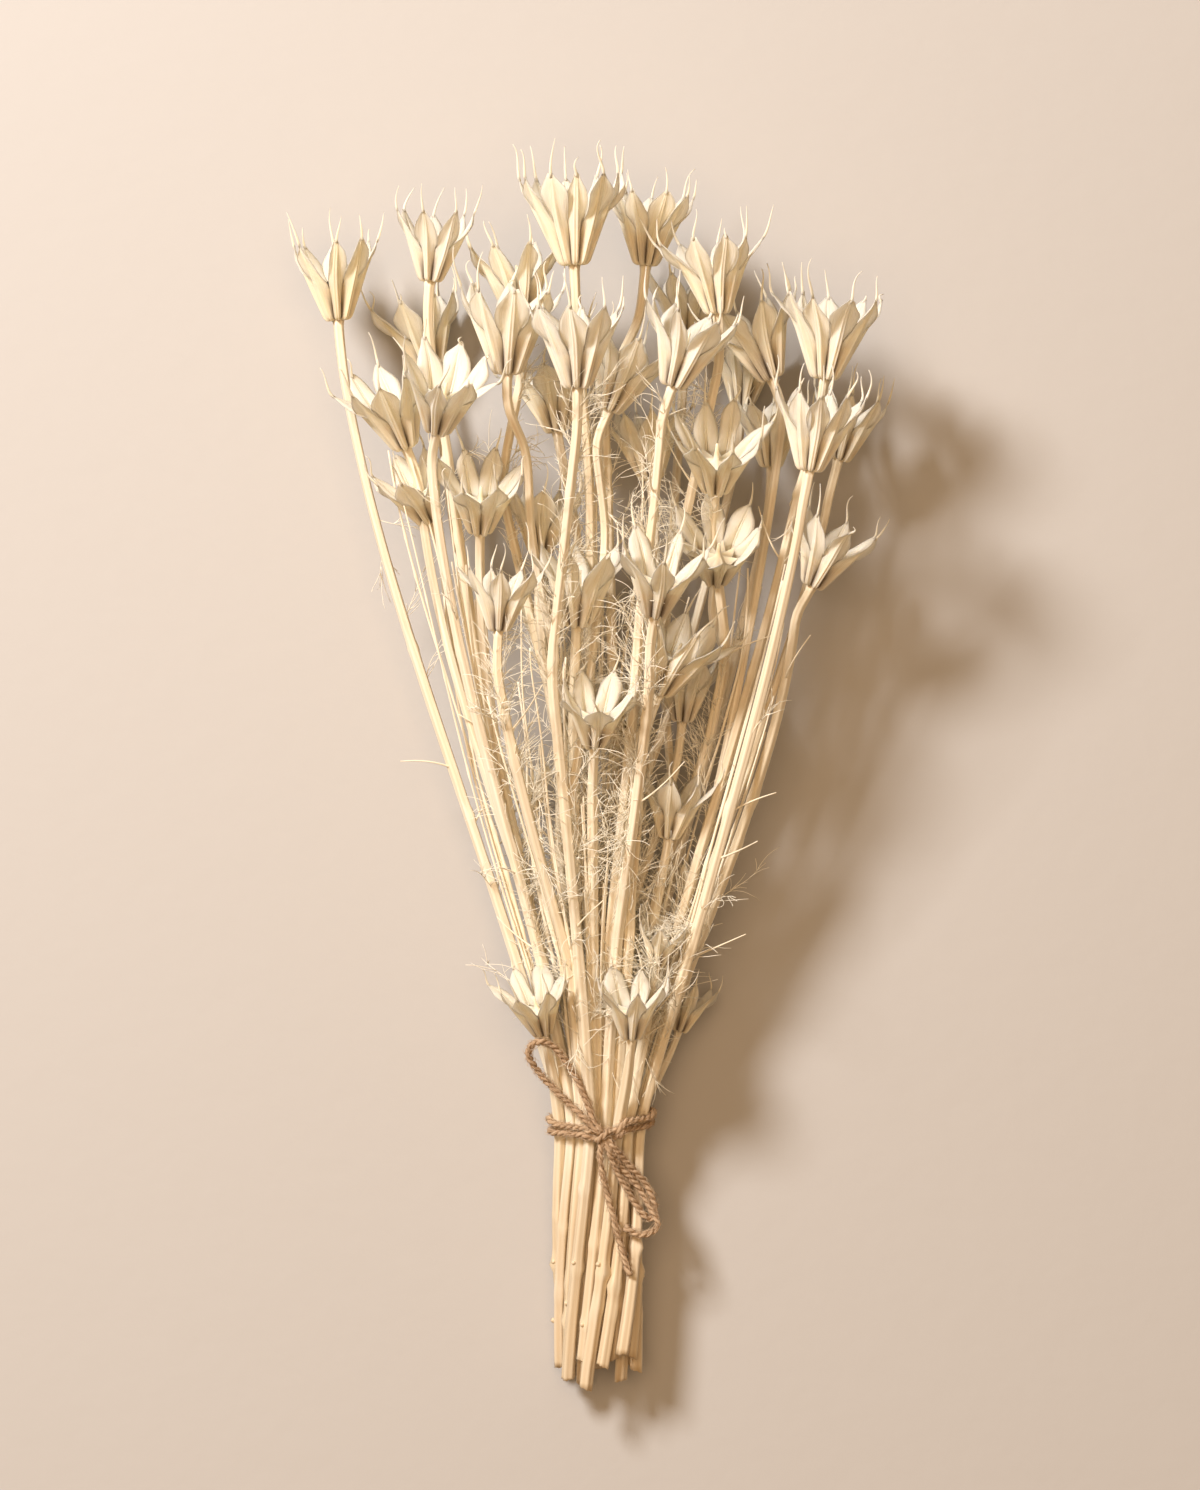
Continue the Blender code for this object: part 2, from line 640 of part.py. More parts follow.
def closed_tube(path, outward, radius, sides):
    """Points and faces of a tube that runs round and meets itself."""
    n = len(path)
    points, faces = [], []
    for i in range(n):
        forward = path[(i + 1) % n] - path[i - 1]
        forward /= np.linalg.norm(forward)
        out = outward[i] - forward * (outward[i] @ forward)
        out /= np.linalg.norm(out)
        side = np.cross(forward, out)
        for k in range(sides):
            a = 2 * math.pi * (k + 0.5) / sides
            points.append(path[i] + radius * (math.cos(a) * out + math.sin(a) * side))
    for i in range(n):
        for k in range(sides):
            a, b = i * sides, (i + 1) % n * sides
            after = (k + 1) % sides
            faces.append((a + k, b + k, b + after, a + after))
    return points, faces


def draped(route, room, turns, ends):
    """The route laid on top of the stems and of the twine's own turns, with the given heights at its ends."""
    centres, radii, _ = room
    under = np.vstack([centres] + turns)
    on_turn = [np.full(len(t), 1.7 * TWINE_RADIUS) for t in turns]
    reach = np.concatenate([radii + TWINE_GAP + TWINE_RADIUS] + on_turn)
    flat = curve(route, 1.8)
    rest = np.full(len(flat), -1e3)
    for i, at in enumerate(flat):
        off = ((under[:, :2] - at) ** 2).sum(1)
        near = off < reach ** 2
        if near.any():
            rest[i] = (under[near, 2] + np.sqrt(reach[near] ** 2 - off[near])).max()
    known = rest > 0
    rest = np.interp(np.arange(len(rest)), np.nonzero(known)[0], rest[known])
    height = rest.copy()
    for _ in range(80):
        height[1:-1] = np.maximum(rest[1:-1], (height[:-2] + height[2:]) / 2 - 0.02)
        for end, value in ends:
            height[end] = max(value, height[end])
    return np.column_stack([flat, height])


def twine_lines(pods, room):
    """Every run of the twine: the turns, the knot's own turn, and the loops and ends."""
    turns = [turn_round(pods, row) for row in TURNS]
    rings = [along(np.vstack([path, path[:1]]), 1.5) for path, _ in turns]
    front = max(point[2] for ring in rings for point in ring if abs(point[0] - KNOT[0]) < 3)
    middle = np.array([KNOT[0], KNOT[1], front + 1.9])
    run = np.array([KNOT_RUN[0], KNOT_RUN[1], 0.0])
    across = np.array([KNOT_RUN[1], -KNOT_RUN[0], 0.0])
    strands = []
    for route, both in ((LOOP_UP, True), (LOOP_DOWN, True), (END_LONG, False), (END_CURLED, False)):
        ends = [(0, middle[2])] + ([(-1, middle[2])] if both else [])
        line = draped(route, room, rings, ends)
        toward = 1.0 if route is LOOP_UP else -1.0
        into = middle + toward * run * 1.0
        aside = across * 0.7
        first = into + aside * (1 if both else 0)
        line = np.vstack([first, line] + ([into - aside] if both else []))
        strands.append(line)
    knot, outward = [], []
    for i in range(12):
        a = 2 * math.pi * i / 12
        out = math.cos(a) * across * 2.5 + math.sin(a) * np.array([0, 0, 1.0]) * 1.9
        knot.append(middle + out)
        outward.append(out)
    core = np.array([middle - run * 3.0, middle, middle + run * 3.0])
    return turns, strands, (np.array(knot), np.array(outward)), core


def build_twine(pods, room, jute):
    turns, strands, knot, core = twine_lines(pods, room)
    shapes = [closed_tube(path, outward, TWINE_RADIUS, TWINE_SIDES) for path, outward in turns]
    shapes.append(closed_tube(*knot, TWINE_RADIUS, TWINE_SIDES))
    shapes.append(tube(core, [1.5, 1.9, 1.5], 6))
    for line in strands:
        line = thinned(line, 0.16)
        radii = np.full(len(line), TWINE_RADIUS)
        shapes.append(tube(line, radii, TWINE_SIDES))
    return joined("jute_twine", shapes, jute)


def rest_on_surface(bodies):
    """Moves the bunch to the middle of X and Y, and presses its lowest parts flat at Z = 0."""
    points = [np.array([v.co for v in body.data.vertices]) for body in bodies]
    low, high = np.vstack(points).min(0), np.vstack(points).max(0)
    shift = Vector((-(low[0] + high[0]) / 2, -(low[1] + high[1]) / 2, -low[2] - PRESSED * MM))
    for body, at in zip(bodies, points):
        body.data.transform(Matrix.Translation(shift))
        if at[:, 2].min() + shift.z < 0:
            corners = [(x, y, z) for x in (-300, 300) for y in (-400, 400) for z in (-30, 0)]
            sides = [(0, 1, 3, 2), (4, 6, 7, 5), (0, 4, 5, 1), (2, 3, 7, 6), (0, 2, 6, 4), (1, 5, 7, 3)]
            combined(body, [mesh_object("surface", corners, sides)], "DIFFERENCE")


def main():
    for obj in list(bpy.data.objects):
        bpy.data.objects.remove(obj)
    pods = lay_out()
    room = filled_room(pods)
    found, room = sprigs(pods, room, random.Random(SEED + 1))
    bodies = build_stems(pods, found, material("bleached_stem", CREAM, 0.6))
    bodies.append(build_twine(pods, room, material("jute", JUTE, 0.9)))
    rest_on_surface(bodies)


main()
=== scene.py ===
"""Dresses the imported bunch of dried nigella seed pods: ribbed stems, papery open pods, thread leaves and
a twisted jute twine, each in the place of its CAD node."""
import math
import random

import bpy
import numpy as np
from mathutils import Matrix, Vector


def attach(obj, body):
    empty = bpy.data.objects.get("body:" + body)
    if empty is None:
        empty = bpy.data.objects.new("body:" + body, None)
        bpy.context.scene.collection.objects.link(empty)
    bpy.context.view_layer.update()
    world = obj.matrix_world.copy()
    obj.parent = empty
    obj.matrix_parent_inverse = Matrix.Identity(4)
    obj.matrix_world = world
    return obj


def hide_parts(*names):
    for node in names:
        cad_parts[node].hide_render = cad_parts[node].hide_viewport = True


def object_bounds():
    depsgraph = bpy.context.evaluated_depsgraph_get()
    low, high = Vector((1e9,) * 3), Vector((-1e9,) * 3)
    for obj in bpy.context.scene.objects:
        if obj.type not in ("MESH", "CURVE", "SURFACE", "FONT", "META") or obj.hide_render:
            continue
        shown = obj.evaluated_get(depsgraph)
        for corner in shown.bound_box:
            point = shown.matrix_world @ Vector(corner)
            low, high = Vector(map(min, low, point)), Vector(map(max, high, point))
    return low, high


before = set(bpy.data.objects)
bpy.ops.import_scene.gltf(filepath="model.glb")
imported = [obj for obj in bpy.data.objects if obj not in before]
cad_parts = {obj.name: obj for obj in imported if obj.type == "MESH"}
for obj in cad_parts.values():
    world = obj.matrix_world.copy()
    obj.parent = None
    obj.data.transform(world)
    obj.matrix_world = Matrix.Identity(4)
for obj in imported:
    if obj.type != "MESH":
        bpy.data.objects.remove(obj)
CAD_BOX = [list(corner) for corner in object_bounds()]

MM = 0.001

# From the layout, whose Y = 0 is at the tie, to the frame's own origin, in millimetres
SHIFT = np.array([2.3953, -125.3113, -0.7730])
BOX_LOW, BOX_HIGH = np.array(CAD_BOX) / MM - SHIFT

# The bunch, in millimetres, with Y = 0 at the middle of the tie
CUT_END_Y = -94.0
TIE_HEIGHT = 20.9
AXIS_RISE = 0.095
STATION_STEP = 6.0
LAST_STATION = 320.0
TWIST_BELOW_TIE = math.radians(68)
SPREAD_BELOW_TIE = 1.42
TIE_ASPECT = 1.45
TIE_HALF_WIDTH = 13.0
TIE_HALF_DEPTH = 9.0
STEM_GAP = 0.6
STEM_GAP_GROWS = 0.5
POD_GAP = 1.2
STEM_TO_POD = 0.6

# How many times each relaxation runs: pods apart, stems packed at the tie, stems bent clear
PARTING_TURNS = 400
PACKING_TURNS = 900
BENDING_TURNS = 600

# One stem
STEM_RADIUS_BASE = 2.15
STEM_RADIUS_TIE = 1.95
SHOOT_RADIUS = 1.45
NECK_LENGTH = 13.0
NECK_RADIUS = 1.65
CUT_SLANT = 0.6
CUT_ENDS_VARY = 17.0
PATH_TOLERANCE = 0.3
POD_MOUTH = 28.5
BEAK_TIP = (15.6, 33.5)

# Thread leaves and the stubs of cut shoots: (how many are tried on each stem, lowest y, highest y)
THREADS = (2, 30.0, 235.0)
THREAD_LENGTH = (13.0, 24.0)
THREAD_RADIUS = (0.5, 0.42)
STUBS = (1, -72.0, -22.0)
STUB_LENGTH = 3.4
STUB_RADIUS = (1.0, 0.8)
CLEARANCE = 0.35

# The twine: two turns round the stems as (y in front, rise to the left, rise to the right), a knot in
# front with the way it runs, and the bow's loops and ends as (x, y) on the stems
TWINE_RADIUS = 1.1
TWINE_GAP = 0.5
TURN_STEPS = 26
TURN_HALF_WIDTH = 15.0
TURNS = [(-1.2, 0.30, 0.46), (-3.4, 0.16, 0.38)]
KNOT = (1.0, -2.2)
KNOT_RUN = (-0.68, 0.73)
KNOT_STEPS = 12
KNOT_HALF_WIDTH = 2.5
KNOT_RISE = 1.9
LOOP_UP = [(-2.4, 3.4), (-7.0, 15.5), (-12.6, 25.0), (-17.5, 30.4), (-22.6, 31.0),
           (-25.2, 27.2), (-22.8, 22.0), (-17.2, 15.2), (-10.9, 9.3), (-4.6, 3.0)]
LOOP_DOWN = [(4.4, -5.6), (10.4, -13.0), (15.8, -19.0), (18.6, -25.0), (19.4, -30.8),
             (16.6, -31.6), (12.8, -26.8), (9.2, -20.6), (6.0, -14.6), (3.2, -8.2)]
END_LONG = [(0.2, -6.3), (0.6, -14.0), (2.4, -22.4), (4.4, -29.8), (6.2, -37.0), (8.4, -44.8), (10.5, -51.8)]
END_CURLED = [(3.0, -5.0), (6.6, -12.4), (12.2, -18.6), (16.4, -25.6), (20.4, -34.4), (14.4, -37.6),
              (8.8, -34.8)]

SEED = 11

# Each stem: its pods, the leader first, as
# (x, y, z of the pod's foot, lean to the right, nod to the front, mouth, carpels, sideways bow of the stem)
STEMS = {
    "stem_far_left": [(-92, 285, 40, -3, 0, 31, 8, -5)],
    "stem_top_left": [(-59, 297, 62, 6, 0, 28, 7, -3), (-60, 268, 15, -12, 0, 30, 8, -3)],
    "stem_left": [(-56, 244, 78, 12, 32, 31, 8, -4), (-68, 240, 48, -20, 18, 31, 8, -6),
                  (-60, 214, 42, -24, 28, 26, 7, -6)],
    "stem_left_low": [(-42, 210, 62, 2, 32, 29, 8, -4)],
    "stem_front_left": [(-28, 284, 56, -4, 0, 31, 8, 0), (-32, 264, 88, 2, 4, 34, 8, 0)],
    "stem_top_middle": [(-9, 302, 74, -2, 0, 35, 10, 0), (-15, 246, 34, -8, 0, 28, 8, 0)],
    "stem_front_middle": [(-8, 258, 94, 0, 4, 32, 8, 0), (3, 252, 58, 20, 0, 30, 9, 0)],
    "stem_top_right_of_middle": [(16, 304, 44, 5, 0, 29, 9, 0), (31, 278, 13, 2, 0, 28, 8, 0)],
    "stem_crossing": [(25, 259, 84, 18, 4, 31, 8, 4)],
    "stem_top_right": [(41, 285, 58, -6, 0, 30, 9, 2), (50, 256, 24, 4, 0, 27, 8, 2)],
    "stem_right_pair": [(78, 263, 66, 6, 4, 33, 9, 3), (60, 264, 50, -20, 0, 31, 8, 2)],
    "stem_right": [(72, 230, 92, 8, 4, 31, 9, 2), (84, 236, 36, 12, 0, 27, 8, 3)],
    "stem_right_back": [(60, 234, 34, 0, 0, 26, 9, 2), (18, 229, 40, -6, 0, 28, 8, 0)],
    "stem_facing_pair": [(40, 224, 66, 2, 38, 32, 8, 2), (40, 192, 66, 4, 48, 30, 8, 2)],
    "stem_far_right": [(74, 191, 56, 24, 6, 28, 7, 4)],
    "stem_centre_right": [(19, 180, 74, 8, 24, 30, 7, 1), (29, 144, 36, 4, 10, 26, 8, 1)],
    "stem_slanting": [(21, 155, 66, 24, 14, 31, 8, 2)],
    "stem_centre": [(-8, 177, 62, 3, 8, 31, 7, 0), (-18, 170, 28, -6, 0, 24, 7, -1)],
    "stem_behind_centre": [(-21, 202, 46, 4, 0, 26, 7, 0)],
    "stem_left_centre": [(-35, 175, 80, 4, 4, 25, 7, -2), (-24, 113, 36, -2, 4, 18, 6, -1)],
    "stem_low_centre": [(-2, 135, 66, 4, 26, 27, 7, 0), (7, 137, 24, 2, 0, 22, 7, 0)],
    "stem_low_right": [(24, 103, 46, 8, 10, 25, 7, 1), (32, 76, 30, 12, 0, 19, 6, 1)],
    "stem_front_low": [(20, 58, 44, 8, 14, 18, 6, 0)],
    "stem_by_tie": [(11, 33, 45, 2, 20, 25, 7, 0)],
    "stem_by_tie_left": [(-20, 34, 38, -14, 24, 24, 8, -1)],
    "stem_by_tie_back": [(28, 34, 18, 16, 0, 20, 6, 1)],
}


def axis_height(y):
    """Height of the bunch's middle above the surface: it lies on its cut ends and its lowest pods."""
    return TIE_HEIGHT + AXIS_RISE * y


def direction(lean, nod):
    lean, nod = math.radians(lean), math.radians(nod)
    return np.array([math.sin(lean) * math.cos(nod), math.cos(lean) * math.cos(nod), math.sin(nod)])


class Pod:
    """One seed pod: where its foot is, which way it points, and what it is made of."""

    def __init__(self, stem, rank, row):
        x, y, z, lean, nod, mouth, carpels, bow = row
        self.stem = stem
        self.rank = rank
        self.foot = np.array([x, y, z], float)
        self.axis = direction(lean, nod)
        self.scale = mouth / POD_MOUTH
        self.carpels = carpels
        self.bow = bow
        self.path = None

    def balls(self):
        """Balls that hold the neck and the pod: (distance along its axis, radius)."""
        s = self.scale
        return [(-7.0, 2.4), (9 * s, 8.5 * s), (19.5 * s, 13.5 * s), (26 * s, 14.0 * s)]

    def cone_radius(self, height):
        """Radius of the room that the pod takes, at these heights above its foot."""
        s = self.scale
        heights = np.array([-3 / s, 0, 1, 9, 20, 26, 36]) * s
        return np.interp(height, heights, np.array([2, 3, 5, 9.4, 14.2, 16, 17]) * s)


def read_pods():
    return [Pod(stem, rank, row) for stem, rows in STEMS.items() for rank, row in enumerate(rows)]


def part_pods(pods):
    """Moves the pods a little, mostly up and down, until those of different stems have room."""
    start = np.array([p.foot for p in pods])
    axes = np.array([p.axis for p in pods])
    balls = np.array([p.balls() for p in pods])
    other = np.array([[a.stem != b.stem for b in pods] for a in pods])
    freedom = np.array([0.22, 0.22, 1.0])
    drawn_back = np.array([0.04, 0.04, 0.004])
    lowest = (balls[:, :3, 1] - axes[:, None, 2] * balls[:, :3, 0]).max(1)
    feet = start.copy()
    for _ in range(PARTING_TURNS):
        push = np.zeros_like(start)
        for i in range(balls.shape[1]):
            for j in range(balls.shape[1]):
                here = feet + axes * balls[:, i, :1]
                there = feet + axes * balls[:, j, :1]
                gap = here[:, None] - there[None]
                distance = np.maximum(np.linalg.norm(gap, axis=2), 1e-6)
                apart = balls[:, i, 1][:, None] + balls[:, j, 1][None] + POD_GAP
                short = np.maximum(apart - distance, 0) * other
                push += (gap / distance[:, :, None] * short[:, :, None]).sum(1) * 0.14 * freedom
        feet = feet + push + (start - feet) * drawn_back
        feet[:, 2] = np.maximum(feet[:, 2], lowest)
    for p, foot in zip(pods, feet):
        p.foot = foot
    return pods


def cone_half_width(y):
    """Half width and half depth of the bunch above the tie, at this distance from it."""
    return 15.0 + 0.29 * y, 10.5 + 0.14 * y


def tie_places(stems, leaders):
    """Where each stem crosses the tie, packed as close as they can lie."""
    places = []
    for stem in stems:
        pod = leaders[stem]
        wide, deep = cone_half_width(pod.foot[1])
        rise = pod.foot[2] - axis_height(pod.foot[1])
        places.append([pod.foot[0] / wide * TIE_HALF_WIDTH, rise / deep * TIE_HALF_DEPTH])
    places = np.array(places)
    apart = 2 * STEM_RADIUS_TIE + STEM_GAP
    for _ in range(PACKING_TURNS):
        push = -0.02 * places * np.array([1.0, TIE_ASPECT ** 2])
        for i in range(len(places)):
            gap = places[i] - places
            distance = np.linalg.norm(gap, axis=1)
            distance[i] = 1e9
            short = np.maximum(apart - distance, 0)
            push[i] += (gap / np.maximum(distance, 1e-6)[:, None] * short[:, None] * 0.45).sum(0)
        places = places + push
    return {stem: places[i] for i, stem in enumerate(stems)}


def below_tie(place, y):
    """The stems turn round each other and spread below the tie, as in any bunch tied by hand."""
    share = y / CUT_END_Y
    turn = TWIST_BELOW_TIE * share
    grow = 1 + (SPREAD_BELOW_TIE - 1) * share
    x, z = grow * place
    return x * math.cos(turn) - z * math.sin(turn), x * math.sin(turn) + z * math.cos(turn)


def stations():
    return np.arange(CUT_END_Y, LAST_STATION, STATION_STEP)


def stem_radius(y, leader):
    """A leader is thickest at its cut end; a side shoot is thin all along."""
    thick = np.interp(y, [CUT_END_Y, 0, 150, 300], [STEM_RADIUS_BASE, STEM_RADIUS_TIE, 1.7, SHOOT_RADIUS])
    return thick if leader else np.minimum(thick, SHOOT_RADIUS)


def first_route(pod, place, ys):
    """The stem's line before it is bent clear of its neighbours."""
    neck = pod.foot - pod.axis * NECK_LENGTH
    points = []
    for y in ys:
        if y <= 0:
            dx, dz = below_tie(place, y)
            points.append([dx, axis_height(y) + dz])
        else:
            t = min(y / neck[1], 1.0)
            x = place[0] + (neck[0] - place[0]) * t + pod.bow * math.sin(math.pi * t * t)
            low, high = TIE_HEIGHT + place[1], neck[2]
            points.append([x, low + (high - low) * t])
    return np.array(points)


def bend_clear(pods, places):
    """Works out every stem's line, so that no stem passes through another or through a pod."""
    ys = stations()
    n, m = len(pods), len(ys)
    first = np.zeros((n, m, 2))
    radius = np.zeros((n, m))
    last = np.zeros(n, int)
    fork = np.full(n, -1)
    for i, p in enumerate(pods):
        first[i] = first_route(p, places[p.stem], ys)
        radius[i] = stem_radius(ys, p.rank == 0)
        last[i] = int(np.searchsorted(ys, p.foot[1] - NECK_LENGTH * p.axis[1] * 0.7)) - 1
        if p.rank:
            fork[i] = int(np.searchsorted(ys, max(14.0, p.foot[1] * 0.42)))
    for _ in range(2):
        padded = np.pad(first, ((0, 0), (1, 1), (0, 0)), mode="edge")
        first = (padded[:, :-2] + padded[:, 1:-1] + padded[:, 2:]) / 3
    leader_of = [next(j for j, q in enumerate(pods) if q.stem == p.stem and q.rank == 0) for p in pods]
    moved = np.zeros_like(first)
    same = np.array([[a.stem == b.stem for b in pods] for a in pods])
    live = np.array([[s <= last[i] for s in range(m)] for i in range(n)])
    for turn in range(BENDING_TURNS):
        at = first + moved
        push = np.zeros_like(first)
        for s in range(m):
            who = np.nonzero(live[:, s])[0]
            gap = at[who, None, s] - at[None, who, s]
            distance = np.maximum(np.linalg.norm(gap, axis=2), 1e-6) + np.eye(len(who)) * 1e9
            apart = STEM_GAP + min(max(ys[s], 0.0) / 100, STEM_GAP_GROWS)
            short = np.maximum(radius[who, s][:, None] + radius[who, s][None] + apart - distance, 0)
            short[same[np.ix_(who, who)]] = 0
            push[who, s] += (gap / distance[:, :, None] * short[:, :, None] * 0.45).sum(1)
        for j, p in enumerate(pods):
            point = np.dstack([at[:, :, 0], np.broadcast_to(ys, (n, m)), at[:, :, 1]]) - p.foot
            height = point @ p.axis
            across = point - height[:, :, None] * p.axis
            off = np.linalg.norm(across, axis=2)
            room = p.cone_radius(height) + radius + STEM_TO_POD
            inside = (height > -3) & (height < 36 * p.scale) & (off < room) & live & ~same[j][:, None]
            step = across / np.maximum(off, 1e-6)[:, :, None] * (room - off)[:, :, None] * 0.4
            push[:, :, 0] += np.where(inside, step[:, :, 0], 0)
            push[:, :, 1] += np.where(inside, step[:, :, 2], 0)
        moved += push
        passes, blend = (3, 1.0) if turn < 0.9 * BENDING_TURNS else (2, 0.8)
        for _ in range(passes):
            smooth = (moved[:, :-2] + 2 * moved[:, 1:-1] + moved[:, 2:]) / 4
            moved[:, 1:-1] += (smooth - moved[:, 1:-1]) * blend
        for i in range(n):
            moved[i, last[i]:] = 0
            moved[i, last[i] - 1] *= 0.6
            if fork[i] >= 0:
                j = leader_of[i]
                moved[i, :fork[i] + 1] = (first[j] + moved[j] - first[i])[:fork[i] + 1]
        low = radius - (first + moved)[:, :, 1]
        moved[:, :, 1] += np.maximum(low, 0)
    at = first + moved
    for i, p in enumerate(pods):
        start = 0 if p.rank == 0 else max(fork[i] - 1, 0)
        line = [[at[i, s, 0], ys[s], at[i, s, 1]] for s in range(start, last[i] + 1)]
        line.append(p.foot - p.axis * NECK_LENGTH * 0.35)
        line.append(p.foot)
        p.path = np.array(line)
    return pods


def lay_out():
    pods = part_pods(read_pods())
    leaders = {p.stem: p for p in pods if p.rank == 0}
    places = tie_places(list(STEMS), leaders)
    return bend_clear(pods, places)


def frames_along(path):
    """A direction, a side and an up at every point of a path."""
    forward = np.gradient(path, axis=0)
    forward /= np.linalg.norm(forward, axis=1)[:, None]
    up = np.cross(forward[0], [1.0, 0.0, 0.0])
    if np.linalg.norm(up) < 0.2:
        up = np.cross(forward[0], [0.0, 0.0, 1.0])
    sides, ups = [], []
    for f in forward:
        up = up - f * (up @ f)
        up /= np.linalg.norm(up)
        sides.append(np.cross(f, up))
        ups.append(up)
    return forward, np.array(sides), np.array(ups)


def thinned(path, tolerance):
    """The path with every point dropped that lies within the tolerance of a straight run."""
    if len(path) < 3:
        return path
    run = path[-1] - path[0]
    run = run / np.linalg.norm(run)
    off = path - path[0]
    off = np.linalg.norm(off - (off @ run)[:, None] * run, axis=1)
    far = int(off.argmax())
    if off[far] < tolerance:
        return np.array([path[0], path[-1]])
    return np.vstack([thinned(path[:far + 1], tolerance)[:-1], thinned(path[far:], tolerance)])


def at_height(path, y):
    """The point of a stem's line at this y."""
    return np.array([np.interp(y, path[:, 1], path[:, i]) for i in range(3)])


def lengths(path):
    """The length of the path up to each of its points."""
    return np.concatenate([[0], np.cumsum(np.linalg.norm(np.diff(path, axis=0), axis=1))])


def along(path, step):
    """The path again, with a point at every step of its length."""
    length = lengths(path)
    at = np.linspace(0, length[-1], max(int(length[-1] / step), 2) + 1)
    return np.column_stack([np.interp(at, length, path[:, i]) for i in range(path.shape[1])])


def with_ends(points):
    """The points as an array, and again with one more at each end, straight on."""
    points = np.array(points, float)
    return points, np.vstack([2 * points[0] - points[1], points, 2 * points[-1] - points[-2]])


def spline(a, b, c, d, t):
    """The point at this share of the way from b to c, on a smooth curve from a to d."""
    return 0.5 * (2 * b + (c - a) * t + (2 * a - 5 * b + 4 * c - d) * t * t
                  + (3 * b - a - 3 * c + d) * t ** 3)


def curve(points, step):
    """A smooth curve through the points."""
    points, ends = with_ends(points)
    out = []
    for four in zip(ends, ends[1:], ends[2:], ends[3:]):
        out += [spline(*four, t) for t in np.linspace(0, 1, 12, endpoint=False)]
    out.append(points[-1])
    return along(np.array(out), step)


def filled_room(pods):
    """Every stem and pod as a row of balls: (centres, radii, number of the stem)."""
    numbers = {stem: i for i, stem in enumerate(STEMS)}
    centres, radii, owner = [], [], []
    for p in pods:
        line = along(p.path, 1.5)
        heights = np.arange(1.0, 35.0, 1.5) * p.scale
        centres += [line, p.foot + heights[:, None] * p.axis]
        radii += [stem_radius(line[:, 1], p.rank == 0), p.cone_radius(heights)]
        owner.append(np.full(len(line) + len(heights), numbers[p.stem]))
    return np.vstack(centres), np.concatenate(radii), np.concatenate(owner)


def sprigs(pods, room, rng):
    """The thread leaves and the stubs of cut shoots of each stem, where they touch nothing else.

    Also gives back the room with these added.
    """
    centres, radii, owner = room
    found = {stem: [] for stem in STEMS}
    for number, stem in enumerate(STEMS):
        leader = next(p for p in pods if p.stem == stem and p.rank == 0)
        others = owner != number
        for kind, (count, low, high) in (("thread", THREADS), ("stub", STUBS)):
            for _ in range(count if leader.foot[1] - 22 > low else 0):
                for _ in range(14):
                    y = rng.uniform(low, min(high, leader.foot[1] - 22))
                    root = at_height(leader.path, y)
                    ahead = at_height(leader.path, y + 3) - root
                    ahead /= np.linalg.norm(ahead)
                    turn = rng.uniform(0, 2 * math.pi)
                    aside = np.cross(ahead, [math.cos(turn), 0, math.sin(turn)])
                    aside /= np.linalg.norm(aside)
                    if kind == "stub":
                        line = np.array([root, root + STUB_LENGTH * (0.85 * aside + 0.5 * ahead)])
                        ends = STUB_RADIUS
                    else:
                        length = rng.uniform(*THREAD_LENGTH)
                        bend = rng.uniform(-0.5, 0.5) * np.cross(ahead, aside)
                        bend += rng.uniform(-0.2, 0.5) * ahead
                        t = np.linspace(0, 1, 5)[:, None]
                        line = root + length * (t * (0.75 * aside + 0.6 * ahead) + t * t * bend)
                        ends = THREAD_RADIUS
                    fine = along(line, 1.2)
                    near = np.linalg.norm(fine[:, None] - centres[None, others], axis=2) - radii[others]
                    if near.min() < ends[0] + CLEARANCE or fine[:, 2].min() < 1.0:
                        continue
                    found[stem].append((line, ends, kind))
                    size = len(fine) - 2
                    centres = np.vstack([centres, fine[2:]])
                    radii = np.concatenate([radii, np.full(size, ends[0])])
                    owner = np.concatenate([owner, np.full(size, number)])
                    others = owner != number
                    break
    return found, (centres, radii, owner)


def turn_round(pods, row):
    """One turn of twine round the stems: it follows their outline, and dips towards the knot in front."""
    middle, left, right = row
    leaders = [p for p in pods if p.rank == 0]
    points = []
    for i in range(TURN_STEPS):
        a = 2 * math.pi * i / TURN_STEPS
        u = np.array([math.cos(a), math.sin(a)])
        x = TURN_HALF_WIDTH * u[0]
        if u[1] > 0:
            y = middle + abs(x) * (right if x > 0 else left)
        else:
            y = middle + (TURN_HALF_WIDTH * (left + right) + x * (right - left)) / 2
        near = [at_height(p.path, y + shift)[[0, 2]] for p in leaders for shift in (-1.2, 0.0, 1.2)]
        outermost = max(near, key=lambda c: c @ u)
        out = outermost + (stem_radius(y, True) + TWINE_GAP + TWINE_RADIUS) * u
        points.append([out[0], y, out[1]])
    return np.array(points)


def draped(route, room, turns, ends):
    """The route laid on top of the stems and of the twine's own turns, with the given heights at its ends."""
    centres, radii, _ = room
    under = np.vstack([centres] + turns)
    on_turn = [np.full(len(t), 1.7 * TWINE_RADIUS) for t in turns]
    reach = np.concatenate([radii + TWINE_GAP + TWINE_RADIUS] + on_turn)
    flat = curve(route, 1.8)
    rest = np.full(len(flat), -1e3)
    for i, at in enumerate(flat):
        off = ((under[:, :2] - at) ** 2).sum(1)
        near = off < reach ** 2
        if near.any():
            rest[i] = (under[near, 2] + np.sqrt(reach[near] ** 2 - off[near])).max()
    known = rest > 0
    rest = np.interp(np.arange(len(rest)), np.nonzero(known)[0], rest[known])
    height = rest.copy()
    for _ in range(80):
        height[1:-1] = np.maximum(rest[1:-1], (height[:-2] + height[2:]) / 2 - 0.02)
        for end, value in ends:
            height[end] = max(value, height[end])
    return np.column_stack([flat, height])


